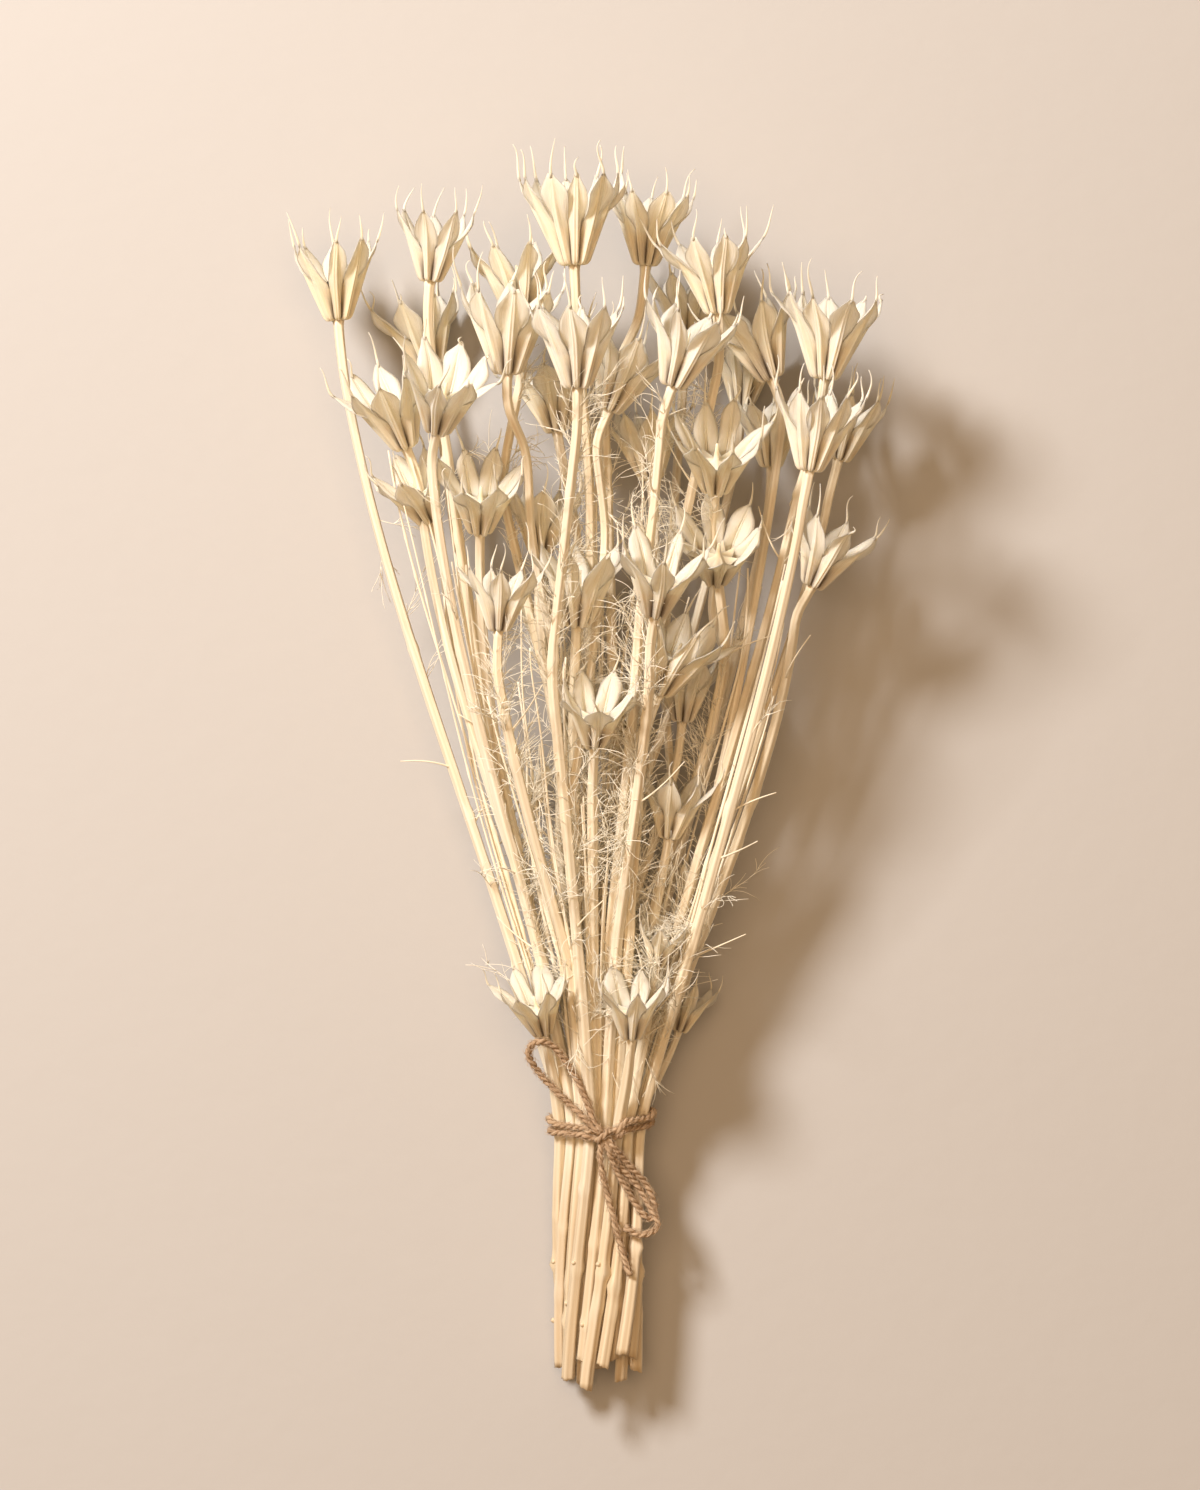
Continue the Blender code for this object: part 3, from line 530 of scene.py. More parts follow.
def twine_lines(pods, room):
    """Every run of the twine: the turns, the loops and ends, and the knot's own turn."""
    turns = [turn_round(pods, row) for row in TURNS]
    closed = [along(np.vstack([path, path[:1]]), 1.5) for path in turns]
    front = max(point[2] for path in closed for point in path if abs(point[0] - KNOT[0]) < 3)
    middle = np.array([KNOT[0], KNOT[1], front + KNOT_RISE])
    run = np.array([KNOT_RUN[0], KNOT_RUN[1], 0.0])
    across = np.array([KNOT_RUN[1], -KNOT_RUN[0], 0.0])
    strands = []
    for route, both in ((LOOP_UP, True), (LOOP_DOWN, True), (END_LONG, False), (END_CURLED, False)):
        ends = [(0, middle[2])] + ([(-1, middle[2])] if both else [])
        line = draped(route, room, closed, ends)
        toward = 1.0 if route is LOOP_UP else -1.0
        into = middle + toward * run
        aside = across * 0.7
        first = into + aside * (1 if both else 0)
        line = np.vstack([first, line] + ([into - aside] if both else []))
        strands.append(line)
    knot = []
    for i in range(KNOT_STEPS):
        a = 2 * math.pi * i / KNOT_STEPS
        out = math.cos(a) * across * KNOT_HALF_WIDTH + math.sin(a) * np.array([0, 0, 1.0]) * KNOT_RISE
        knot.append(middle + out)
    return turns, strands, np.array(knot)


# The camera, in millimetres in the layout: the height that the photograph shows on the plane of the pods,
# its middle, that plane, how far above it the camera is, and the camera's sensor
VIEW_HEIGHT = 521.5
VIEW_CENTRE = (0.0, 135.4)
PODS_PLANE = 50.0
CAMERA_AWAY = 2400.0
SENSOR = 36.0

# The floor and the lights, in metres and watts
FLOOR_HALF = 4.0
FLOOR_COLOUR = (0.50, 0.48, 0.456, 1.0)
KEY_PLACE = (-0.97, 1.05, 1.42)
KEY_SIZE = 0.5
KEY_POWER = 52.0
KEY_COLOUR = (1.0, 0.97, 0.96)
OVERHEAD_PLACE = (-0.1, 0.1, 2.2)
OVERHEAD_SIZE = 1.6
OVERHEAD_POWER = 23.0
WARM = (1.0, 0.68, 0.41)
SKY = (1.0, 0.68, 0.40, 1.0)
SKY_STRENGTH = 0.22

# What would lie lower than this, in metres, is pressed together above the floor and keeps its thickness
FLOOR_EASE = 0.0015
# The two materials of a stem's piece
WOODY, PAPERY = 0, 1
# The range of a random angle, and how far apart two pieces may lie in the noise of their material
ROUND = 6.28
NOISE_SPAN = 500

# Fine stems: sides round one, ribs, how deep they are, the length between rings, where a stem narrows to
# its neck, how far it swells under its pod, and how strong the painted shade below the tie is
STEM_SIDES = 20
STEM_RIBS = 5
RIB_DEPTH = 0.13
RING_STEP = 3.2
NARROWS_WITHIN = 30
SWELL = 0.22
PAINTED_SHADE_BELOW_TIE = 0.75

# A carpel of a pod whose scale is 1, from its foot to the root of its beak. Each row is
# (keel radius, keel height, margin radius, margin height, half width where it is free, rib size)
CARPEL = [
    (2.1, -0.3, 1.2, 0.4, 0.0, 0.62), (3.5, -0.4, 2.2, 0.4, 0.0, 0.72), (4.6, 0.5, 3.1, 0.9, 0.0, 0.8),
    (5.5, 2.4, 3.4, 2.9, 0.0, 0.86), (6.7, 5.2, 3.9, 5.5, 0.0, 0.92), (7.9, 7.9, 4.6, 7.9, 0.0, 0.96),
    (9.1, 10.6, 5.6, 10.3, 2.4, 1.0), (10.3, 13.3, 7.0, 12.5, 3.1, 1.0), (11.4, 15.8, 8.7, 14.8, 3.8, 0.98),
    (12.3, 18.0, 10.4, 17.1, 4.3, 0.92), (13.1, 20.0, 12.0, 19.3, 4.4, 0.84),
    (13.8, 21.8, 13.2, 21.3, 3.7, 0.72), (14.4, 23.5, 14.1, 23.2, 2.1, 0.58),
    (14.8, 25.2, 14.6, 25.0, 0.9, 0.45),
]
CREST_ROW = 7
CARPEL_RINGS = 19
FIRST_OPEN_RING = 8
# Across half a carpel: the double rib of the keel as (side, depth), then shares of the wall
RIB = [(0.0, 0.4), (0.28, 0.06), (0.54, 0.0), (0.78, 0.26), (0.86, 0.85)]
WALL = [0.25, 0.52, 0.8, 1.0]
WALL_THICKNESS = 0.34
MARGIN_THICKNESS = 0.14
MARGIN_RADIUS = 0.2
# How far a blade's end bends out, how wide it is, and how smudged a pod is, each with its shares
FLARES = (0.0, 1.4, 3.6), (0.25, 0.45, 0.3)
WIDTHS = (0.6, 0.9, 1.1), (0.2, 0.4, 0.4)
SMUDGES = (0.15, 0.5, 0.9), (0.4, 0.35, 0.25)
# The beak: points along it, sides, radii as (share of its length, radius), and how many are broken off
BEAK_POINTS = 11
BEAK_SIDES = 4
BEAK_RADII = (0, 0.12, 0.55, 1), (0.5, 0.6, 0.38, 0.17)
BROKEN_SHARE = 0.14
# The middle of a pod as (radius, height): the hollow between two seams, and the point that rises from it
HOLLOW = (4.6, 9.5)
MIDDLE_POINT = [(0.9, 12.0), (0.7, 14.5), (0.45, 17.5)]
MIDDLE_TIP = 17.8

# Thread leaves: sprigs on each stem, threads on a sprig, length of a thread's steps, its radii, the share
# that strays outwards, and how far from the middle of the bunch stems are bare
SPRIGS = 50
SPRIG_THREADS = 9
THREAD_STEP = 2.4
THREAD_RADII = (0.2, 0.1)
STRAY_SHARE = 0.06
BARE_BEYOND = 38.0
THIN_SHOOTS = 3
THIN_SHOOT_RADII = (0.75, 0.35)
# The thread leaves and stubs that the solids have too: rings on each, and a thread's radii
SPRIG_RINGS = 9
SOLID_THREAD_RADII = (0.42, 0.2)

# The twine: two strands twisted round each other, and its loose fibres
PLY_OFFSET = 0.58
PLY_RADIUS = 0.68
PLY_SIDES = 7
TWIST_LENGTH = 5.4
TWINE_STEP = 0.8
FIBRES_PER_MM = 8.0
FIBRE_STANDS_OFF = 2.5
FIBRE_LENGTH = (1.2, 4.2)
FIBRE_RADII = (0.1, 0.05)
FIBRE_POINTS = 5


class Piece:
    """The points, faces and per-point values of one mesh, gathered before it is made."""

    def __init__(self):
        self.points, self.faces, self.kinds, self.count = [], [], [], 0
        # deep carries painted shade; inner carries paler tones and painted highlight
        self.values = {"grain": [], "taupe": [], "deep": [], "inner": [], "tint": []}

    def add(self, points, faces, kind=WOODY, **values):
        points = np.asarray(points, float).reshape(-1, 3)
        n = len(points)
        self.points.append(points)
        for group in faces:
            moved = (np.asarray(group) + self.count).tolist()
            self.faces += moved
            self.kinds += [kind] * len(moved)
        for name, kept in self.values.items():
            given = np.asarray(values.get(name, 0.0), float)
            kept.append(np.broadcast_to(given, (n, 3) if name == "grain" else (n,)))
        self.count += n

    def make(self, name, materials, node):
        mesh = bpy.data.meshes.new(name)
        points = (np.vstack(self.points) + SHIFT) * MM
        low = points[:, 2] < FLOOR_EASE
        points[low, 2] = FLOOR_EASE * np.exp(points[low, 2] / FLOOR_EASE - 1)
        mesh.from_pydata(points.tolist(), [], self.faces)
        mesh.polygons.foreach_set("material_index", self.kinds)
        mesh.polygons.foreach_set("use_smooth", [True] * len(self.faces))
        for value, kept in self.values.items():
            if value == "grain":
                made = mesh.attributes.new(value, "FLOAT_VECTOR", "POINT")
                made.data.foreach_set("vector", np.vstack(kept).ravel())
            else:
                made = mesh.attributes.new(value, "FLOAT", "POINT")
                made.data.foreach_set("value", np.concatenate(kept))
        for material in materials:
            mesh.materials.append(material)
        mesh.update()
        obj = bpy.data.objects.new(name, mesh)
        bpy.context.scene.collection.objects.link(obj)
        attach(obj, "root")
        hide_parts(node)
        return obj


def smooth_step(low, high, x):
    t = np.clip((x - low) / (high - low), 0, 1)
    return t * t * (3 - 2 * t)


def rounded(points, count):
    """The rows again, with as many rings as asked along a smooth curve through them."""
    points, ends = with_ends(points)
    at = np.linspace(0, len(points) - 1, count)
    i = np.minimum(at.astype(int), len(points) - 2)
    return spline(ends[i], ends[i + 1], ends[i + 2], ends[i + 3], (at - i)[:, None])


def tube(path, radii, sides):
    """Points and faces of a closed tube, and the angles of its sides.

    radii has a row for each ring, and one column or a column for each side.
    """
    _, side, up = frames_along(path)
    angle = 2 * np.pi * (np.arange(sides) + 0.5) / sides
    spokes = np.cos(angle)[None, :, None] * side[:, None] + np.sin(angle)[None, :, None] * up[:, None]
    radii = np.broadcast_to(np.reshape(radii, (len(path), -1)), (len(path), sides))
    points = path[:, None] + radii[:, :, None] * spokes
    i, k = np.meshgrid(np.arange(len(path) - 1), np.arange(sides), indexing="ij")
    a, b = i * sides + k, i * sides + (k + 1) % sides
    faces = [np.stack([a, a + sides, b + sides, b], -1).reshape(-1, 4), np.arange(sides)[None],
             ((len(path) - 1) * sides + np.arange(sides))[::-1][None]]
    return points.reshape(-1, 3), faces, angle


def round_grain(angle, run):
    """The grain of a tube's points: round it and along it."""
    return np.column_stack([np.tile(np.cos(angle), len(run)), np.tile(np.sin(angle), len(run)),
                            np.repeat(run, len(angle))])


def long_grain(run, sides):
    """The grain of a thin tube's points: along it alone."""
    return np.repeat(run, sides)[:, None] * [0, 0, 1.0]


def anywhere(rng):
    """A place in the noise, so that no two pieces have the same streaks."""
    return rng.uniform(0, NOISE_SPAN, 3)


def unit(vector):
    return vector / np.linalg.norm(vector)


def ribbed_stem(piece, pod, line, slant, rng):
    """A stem or side shoot with lengthwise ribs, a slow twist and a few knots."""
    fine = rounded(line, max(int(lengths(line)[-1] / RING_STEP), 4) + 1)
    for _ in range(3):
        fine[1:-1] = (fine[:-2] + 2 * fine[1:-1] + fine[2:]) / 4
    leader = pod.rank == 0
    radius = np.asarray(stem_radius(fine[:, 1], leader), float)
    run = lengths(fine)
    to_pod = run[-1] - run
    neck = NECK_RADIUS * min(pod.scale, 1.0)
    radius = neck + (radius - neck) * smooth_step(0, NARROWS_WITHIN, to_pod)
    radius *= 1 + SWELL * np.exp(-(to_pod / 1.2) ** 2)
    angle = 2 * np.pi * (np.arange(STEM_SIDES) + 0.5) / STEM_SIDES
    twist = rng.uniform(0, ROUND) + run[:, None] * rng.uniform(-0.012, 0.012)
    ribs = 1 + RIB_DEPTH * np.cos(STEM_RIBS * angle[None] + twist)
    ribs = ribs + 0.03 * np.cos(2 * angle[None] + 0.05 * run[:, None])
    for at in rng.uniform(12, run[-1] - 25, 2 + int(run[-1] / 110)) if leader else []:
        bump = np.exp(-((run - at) / 1.7) ** 2)[:, None]
        ribs = ribs + bump * (0.16 + 0.16 * np.cos(angle[None] - rng.uniform(0, ROUND)))
    if leader:
        low_knot = np.exp(-((run - rng.uniform(18, 45)) / 2.2) ** 2)[:, None]
        one_side = np.clip(np.cos(angle[None] - rng.uniform(0, ROUND)), 0, 1) ** 2
        ribs = ribs + low_knot * (0.2 + 0.45 * one_side)
    points, faces, angle = tube(fine, radius[:, None] * ribs, STEM_SIDES)
    if slant:
        chipped = rng.choice([0, 0.9], STEM_SIDES) * rng.uniform(0.2, 1, STEM_SIDES)
        points[:STEM_SIDES, 1] += slant * radius[0] * np.cos(angle) + chipped
    grain = round_grain(angle, run) * [2, 2, 1] + anywhere(rng)
    # Painted shade: darker colour in the valleys between the ribs
    deep = np.clip(0.5 - 4.5 * (ribs - 1), 0, 1).ravel() * 0.45
    if leader:
        # Darker at the cut end, and painted shade on the stems below the tie
        cut_end_and_low_shade = np.exp(-run / 1.2) * 0.5 + PAINTED_SHADE_BELOW_TIE * smooth_step(5, -40, fine[:, 1])
        deep = deep + np.repeat(cut_end_and_low_shade, STEM_SIDES)
    piece.add(points, faces, grain=grain, deep=deep, tint=rng.uniform(0, 1), taupe=0.12 * rng.uniform(0, 1))


def sheet_faces(rows, columns, first, order):
    """The faces of a grid of points, each with its corners in this order."""
    i, j = np.meshgrid(np.arange(rows - 1), np.arange(columns - 1), indexing="ij")
    a = first + i * columns + j
    corners = (a, a + columns, a + columns + 1, a + 1)
    return np.stack([corners[k] for k in order], -1).reshape(-1, 4)


def carpel(piece, pod, k, frame_axes, opening, reach, smudge, pod_tone_and_light, rng):
    """One folded blade of a pod with the double rib of its keel, and the thin beak that it ends in."""
    side_axis, up_axis, start = frame_axes
    n, s = pod.carpels, pod.scale
    angle = start + 2 * math.pi * (k + 0.5) / n
    out = math.cos(angle) * side_axis + math.sin(angle) * up_axis
    tangent = -math.sin(angle) * side_axis + math.cos(angle) * up_axis
    half = math.pi / n

    # How it differs from the others. One that would leave the box of the solids stays plainer.
    flare = rng.choice(FLARES[0], p=FLARES[1]) * rng.uniform(0.6, 1.2)
    wild = 1.0
    farthest = pod.foot + s * (BEAK_TIP[0] + flare + 3) * out + s * (BEAK_TIP[1] + 2) * pod.axis
    if np.any(farthest < BOX_LOW) or np.any(farthest > BOX_HIGH):
        flare, wild = 0.0, 0.4

    # Its rows: grown together up to the crest, and free above it
    keel_r, keel_h, margin_r, margin_h, width, rib = rounded(CARPEL, CARPEL_RINGS).T
    along_it = np.linspace(0, 1, CARPEL_RINGS)
    crest = CREST_ROW / (len(CARPEL) - 1)
    free = smooth_step(crest - 0.08, crest + 0.14, along_it)
    open_by = rng.choice(WIDTHS[0], p=WIDTHS[1]) * rng.uniform(0.9, 1.08)
    fused_side = margin_r * math.sin(half) * 0.98
    pointed = 1 - rng.uniform(0.05, 0.6) * np.clip((margin_h - 15) / 10, 0, 1)
    free_side = np.minimum(width * open_by * pointed, 0.98 * margin_r * math.tan(half))
    reach_side = fused_side + (free_side - fused_side) * free
    reach_r = margin_r * (math.cos(half) + (1 - math.cos(half)) * free)
    long = np.hypot(reach_r - keel_r, margin_h - keel_h)
    inward = np.column_stack([reach_r - keel_r, margin_h - keel_h]) / long[:, None]

    # Across it: from the keel's rib along the wall to the margin
    rib_side, rib_deep = np.array(RIB).T
    rib_end_side, rib_end_deep = RIB[-1]
    wall = np.array(WALL)
    share = np.concatenate([np.zeros(len(RIB)), wall])
    foot = np.minimum(rib_end_deep * rib / long, 0.55)
    deep = np.concatenate([
        rib_deep[None] * (foot / rib_end_deep)[:, None],
        foot[:, None] + (1 - foot)[:, None] * wall[None]], axis=1)
    start_side = np.minimum(rib_end_side * rib, 0.7 * reach_side + 0.12)
    curve_in = 1 + 0.9 * free[:, None]
    aside = np.concatenate([
        rib_side[None] * (start_side / rib_end_side)[:, None],
        start_side[:, None] + (reach_side - start_side)[:, None] * wall[None] ** curve_in], axis=1)
    belly = 0.3 * np.sin(np.pi * share)[None] * ((1 - free) * rib)[:, None]
    lip = np.clip((share - 0.6) / 0.4, 0, 1)[None] ** 2 * (free * smooth_step(1.0, 0.8, along_it))[:, None]
    lean = rng.uniform(-0.2, 0.2)
    splay = rng.uniform(-1.5, 1.5) * smooth_step(crest - 0.1, 1.0, along_it)
    curl_out = rng.uniform(0.3, 1.4)
    columns = []
    for sign in (-1, 1):
        wave = rng.uniform(0, ROUND, 2)
        often = rng.uniform(8, 17, 2)
        ripple, lift = (np.sin(often[w] * along_it + wave[w])[:, None] * share[None] ** 2 * free[:, None]
                        for w in (0, 1))
        across = sign * (aside + belly + 0.4 * lip + 0.35 * ripple)
        across = across + splay[:, None] + lean * (long[:, None] * share[None]) * free[:, None]
        radial = keel_r[:, None] + inward[:, :1] * long[:, None] * deep + curl_out * lip
        height = keel_h[:, None] + inward[:, 1:] * long[:, None] * deep + 0.45 * lift - 0.4 * curl_out * lip
        columns.append(np.stack([radial, height, across], -1))
    grid = np.concatenate([columns[0][:, :0:-1], columns[1]], axis=1)
    shares = np.concatenate([-share[:0:-1], share])
    flat_deep = np.concatenate([deep[:, :0:-1], deep], axis=1)
    widen = 1 + (opening - 1) * np.clip(grid[:, :, 1] / 24, 0, 1)

    def placed(local):
        return pod.foot + s * (local[..., :1] * out + local[..., 1:2] * pod.axis + local[..., 2:] * tangent)

    # The outer and the inner skin, and the edges between them
    grid[:, :, 0] *= widen
    high = np.clip((grid[:, :, 1] - 13) / 12, 0, 1.2) ** 2
    grid[:, :, 0] += flare * high
    grid[:, :, 1] -= 0.35 * flare * high
    outer = placed(grid)
    normal = np.cross(np.gradient(outer, axis=0), np.gradient(outer, axis=1))
    normal /= np.maximum(np.linalg.norm(normal, axis=2), 1e-9)[:, :, None]
    thick = s * (WALL_THICKNESS + (MARGIN_THICKNESS - WALL_THICKNESS) * np.abs(shares))
    inner = (outer - normal * thick[None, :, None])[FIRST_OPEN_RING:]
    r, c = outer.shape[:2]
    open_rings, count = r - FIRST_OPEN_RING, r * c
    faces = [sheet_faces(r, c, 0, (0, 1, 2, 3)), sheet_faces(open_rings, c, count, (0, 3, 2, 1))]
    i = np.arange(open_rings - 1)
    o, q = (i + FIRST_OPEN_RING) * c, count + i * c
    faces.append(np.stack([o + c, o, q, q + c], -1))
    faces.append(np.stack([o + c - 1, o + 2 * c - 1, q + 2 * c - 1, q + c - 1], -1))
    j = np.arange(c - 1)
    o, q = (r - 1) * c + j, count + (open_rings - 1) * c + j
    faces.append(np.stack([o + 1, o, q, q + 1], -1))

    offset = anywhere(rng)
    run = np.broadcast_to(along_it[:, None] * 30, (r, c))
    grain = np.stack([np.broadcast_to(shares[None] * 7, (r, c)), 2 * flat_deep, run], -1) + offset
    from_keel = np.abs(shares)
    # Painted shade: dark brown in the folds between the carpels, near the pod's foot
    shade = flat_deep * smooth_step(12, 2, grid[:, :, 1]) * smooth_step(0.15, 0.5, from_keel)[None]
    smudged = 0.55 + 0.45 * smooth_step(0.05, 0.4, from_keel)[None]
    low = smudge * smooth_step(13, 1.5, grid[:, :, 1]) * smudged
    tint = np.clip(pod_tone_and_light + rng.uniform(-0.15, 0.15), 0, 1)
    # Painted highlight: the free lips take the paler inner colour
    painted_lip_highlight = smooth_step(0.7, 1.0, from_keel)[None] * free[:, None]
    inside = open_rings * c
    piece.add(np.vstack([outer.reshape(-1, 3), inner.reshape(-1, 3)]), faces, PAPERY,
              grain=np.vstack([grain.reshape(-1, 3), grain[FIRST_OPEN_RING:].reshape(-1, 3)]),
              deep=np.concatenate([shade.ravel(), np.zeros(inside)]),
              taupe=np.concatenate([low.ravel(), np.zeros(inside)]),
              inner=np.concatenate([painted_lip_highlight.ravel(), np.ones(inside)]), tint=tint)

    # A thin ridge along each margin, in the palest colour as a painted highlight
    for column in (0, c - 1):
        edge = outer[FIRST_OPEN_RING + 1:, column]
        points, faces, _ = tube(edge, s * MARGIN_RADIUS * np.linspace(1.0, 0.6, len(edge)), 3)
        grain = long_grain(np.arange(len(edge)), 3) + offset
        piece.add(points, faces, PAPERY, grain=grain, inner=1.0, tint=1.0)

    # The beak, on a curve that leaves the blade in the blade's own direction
    root = grid[-3:, c // 2]
    tip = np.array([BEAK_TIP[0] * opening * reach, BEAK_TIP[1] * reach, splay[-1] * 2.2])
    tip += wild * (rng.uniform(-1, 1, 3) * [2.2, 1.2, 2.6] + [1.3 * flare, 1.2 - 0.4 * flare, 0])
    if rng.uniform() < BROKEN_SHARE:
        tip = root[-1] + (tip - root[-1]) * rng.uniform(0.15, 0.5)
    heading = unit(root[-1] - root[0])
    from_root = root[-1] - 1.2 * heading
    span = np.linalg.norm(tip - from_root)
    curl = rng.uniform(-1, 1, 3) * [9.0, 3.0, 9.0] * rng.choice([0.4, 1.0])
    t = np.linspace(0, 1, BEAK_POINTS)[:, None]
    bend = (2 * t ** 3 - 3 * t ** 2 + 1) * from_root + (t ** 3 - 2 * t ** 2 + t) * heading * span \
        + (3 * t ** 2 - 2 * t ** 3) * tip + (t ** 3 - t ** 2) * ((tip - from_root) + curl)
    points, faces, round_it = tube(placed(bend), s * np.interp(t[:, 0], *BEAK_RADII), BEAK_SIDES)
    grain = round_grain(round_it, 30 + 10 * t[:, 0]) + offset
    piece.add(points, faces, PAPERY, grain=grain, inner=0.5, tint=tint)


def seed_pod(piece, pod, axes, openings, reaches, rng):
    """The blades of one pod, and its middle, which sinks between their seams and rises to a point."""
    smudge = rng.choice(SMUDGES[0], p=SMUDGES[1])
    # Painted light: the higher a pod lies above the floor, the lighter its colour; the rest is random tone
    tint = 0.6 * smooth_step(20, 95, pod.foot[2]) + rng.uniform(0, 0.4)
    for k in range(pod.carpels):
        own = smudge * rng.uniform(0.5, 1.2)
        carpel(piece, pod, k, axes, openings[k], reaches[k], own, tint, rng)
    side_axis, up_axis, start = axes
    n, s = pod.carpels, pod.scale
    _, _, crest_r, crest_h, _, _ = CARPEL[CREST_ROW]
    points = []
    for radius, height in [(crest_r, crest_h), HOLLOW, *MIDDLE_POINT]:
        shift = 0.5 if (radius, height) == HOLLOW else 0
        angle = start + 2 * np.pi * (np.arange(n) + shift) / n
        spokes = np.cos(angle)[:, None] * side_axis + np.sin(angle)[:, None] * up_axis
        points.append(pod.foot + s * (radius * spokes + height * pod.axis))
    points.append((pod.foot + s * MIDDLE_TIP * pod.axis)[None])
    k = np.arange(n)
    after = (k + 1) % n
    tip = np.full(n, 5 * n)
    corners = [(k, n + k, 2 * n + k), (n + k, after, 2 * n + after), (n + k, 2 * n + after, 2 * n + k),
               (4 * n + k, 4 * n + after, tip)]
    corners += [(row * n + k, row * n + after, (row + 1) * n + after, (row + 1) * n + k) for row in (2, 3)]
    # Painted shade in the hollow between the seams
    painted_hollow_shade = np.concatenate([np.full(n, 0.0), np.full(n, 0.35), np.zeros(3 * n + 1)])
    piece.add(np.vstack(points), [np.stack(group, -1) for group in corners], PAPERY,
              grain=anywhere(rng), deep=painted_hollow_shade, inner=0.5)


def wisp(piece, start, heading, steps, radii, rng, curl, tint):
    """One curling thread. Gives back its points."""
    turn = rng.normal(0, curl, 3)
    points = [start]
    for _ in range(steps):
        turn = 0.75 * turn + rng.normal(0, curl * 0.6, 3)
        heading = unit(heading + turn)
        if points[-1][2] < 2.0 and heading[2] < 0:
            heading = heading * [1, 1, -0.3]
        points.append(points[-1] + THREAD_STEP * heading)
    line = np.array(points)
    shape, faces, _ = tube(line, np.linspace(*radii, len(line)), 3)
    grain = long_grain(lengths(line), 3) + anywhere(rng)
    piece.add(shape, faces, grain=grain, tint=tint, inner=0.85)
    return line


def thread_leaves(piece, leader, rng):
    """Finely divided dry leaves: each is a thread along the stem that carries shorter ones."""
    top = min(leader.foot[1] - 6, 262.0)
    if top < 30:
        return
    for _ in range(SPRIGS):
        y = 22 + (top - 22) * rng.uniform(0, 1) ** 0.8
        root, ahead = at_height(leader.path, y), at_height(leader.path, y + 4)
        ahead = (ahead - root) / np.linalg.norm(ahead - root)
        turn = rng.uniform(0, ROUND)
        aside = np.cross(ahead, [math.cos(turn), 0, math.sin(turn)])
        inward = np.array([1.5 - root[0], 0, axis_height(root[1]) - root[2]])
        if abs(inward[0]) > BARE_BEYOND and rng.uniform() > STRAY_SHARE:
            continue
        if aside @ inward < 0 and rng.uniform() > STRAY_SHARE:
            aside = -aside
        inward = inward / max(np.linalg.norm(inward), 1.0)
        tint = rng.uniform(0, 1)
        heading = ahead * rng.choice([1.0, -0.5], p=[0.8, 0.2]) + aside * rng.uniform(0.1, 0.5)
        main = wisp(piece, root, unit(heading), rng.integers(6, 13), THREAD_RADII, rng, 0.1, tint)
        for _ in range(SPRIG_THREADS):
            at = rng.integers(1, len(main) - 2)
            forward = unit(main[at + 1] - main[at])
            out = rng.normal(0, 1, 3) + inward
            out = unit(out - forward * (out @ forward))
            heading = forward * 0.9 + out * rng.uniform(0.3, 0.9)
            thin = (THREAD_RADII[0] * 0.8, THREAD_RADII[1])
            wisp(piece, main[at], unit(heading), rng.integers(2, 7), thin, rng, 0.2, tint)


def thin_shoots(piece, leader, leaders, rng):
    """Slender leafless shoots that run up inside the bunch, between this stem and one of its neighbours."""
    near = sorted((p for p in leaders if p is not leader),
                  key=lambda p: np.linalg.norm(at_height(p.path, 90) - at_height(leader.path, 90)))
    for other in near[:THIN_SHOOTS]:
        low = rng.uniform(-30, 30)
        top = min(leader.foot[1], other.foot[1], 255) - rng.uniform(5, 60)
        if top < low + 60:
            continue
        heights = np.linspace(low, top, int((top - low) / 7) + 2)
        share = rng.uniform(0.35, 0.65) + 0.12 * np.sin(heights / rng.uniform(20, 45) + rng.uniform(0, ROUND))
        line = np.array([(1 - w) * at_height(leader.path, y) + w * at_height(other.path, y)
                         for w, y in zip(share, heights)])
        fine = rounded(line, 2 * len(line))
        size = np.linspace(*THIN_SHOOT_RADII, len(fine))[:, None] * rng.uniform(0.8, 1.15)
        size = size * (1 + 0.5 * (rng.uniform(0, 1, (len(fine), 1)) > 0.93))
        shape, faces, angle = tube(fine, size, 6)
        grain = round_grain(angle, lengths(fine)) + anywhere(rng)
        piece.add(shape, faces, grain=grain, tint=rng.uniform(0, 1), inner=0.25)


def dressed_stem(stem, pods, leaders, found, draws, materials, number):
    rng = np.random.default_rng(SEED * 100 + number)
    piece = Piece()
    for pod in pods:
        end, start, slant, openings, reaches = draws[pod]
        line = pod.path
        if pod.rank == 0:
            line = np.vstack([at_height(line, end), line[line[:, 1] > end + 1]])
        _, sides, ups = frames_along(thinned(line, PATH_TOLERANCE))
        ribbed_stem(piece, pod, line, slant, rng)
        seed_pod(piece, pod, (sides[-1], ups[-1], start), openings, reaches, rng)
    for line, (low, high), kind in found:
        fine = rounded(line, SPRIG_RINGS)
        run = lengths(fine)
        if kind == "stub":
            shape, faces, angle = tube(fine, np.linspace(low * 1.05, high, SPRIG_RINGS), 8)
            # A little darker all over, and painted shade below the tie
            cut_end_and_low_shade = 0.35 + 0.6 * smooth_step(20, -30, np.repeat(fine[:, 1], 8))
            piece.add(shape, faces, grain=round_grain(angle, run), tint=0.5, deep=cut_end_and_low_shade)
        else:
            shape, faces, _ = tube(fine, np.linspace(*SOLID_THREAD_RADII, SPRIG_RINGS), 5)
            piece.add(shape, faces, grain=long_grain(run, 5), tint=0.6)
    thread_leaves(piece, pods[0], rng)
    thin_shoots(piece, pods[0], leaders, rng)
    return piece.make("dried_" + stem, materials, stem)


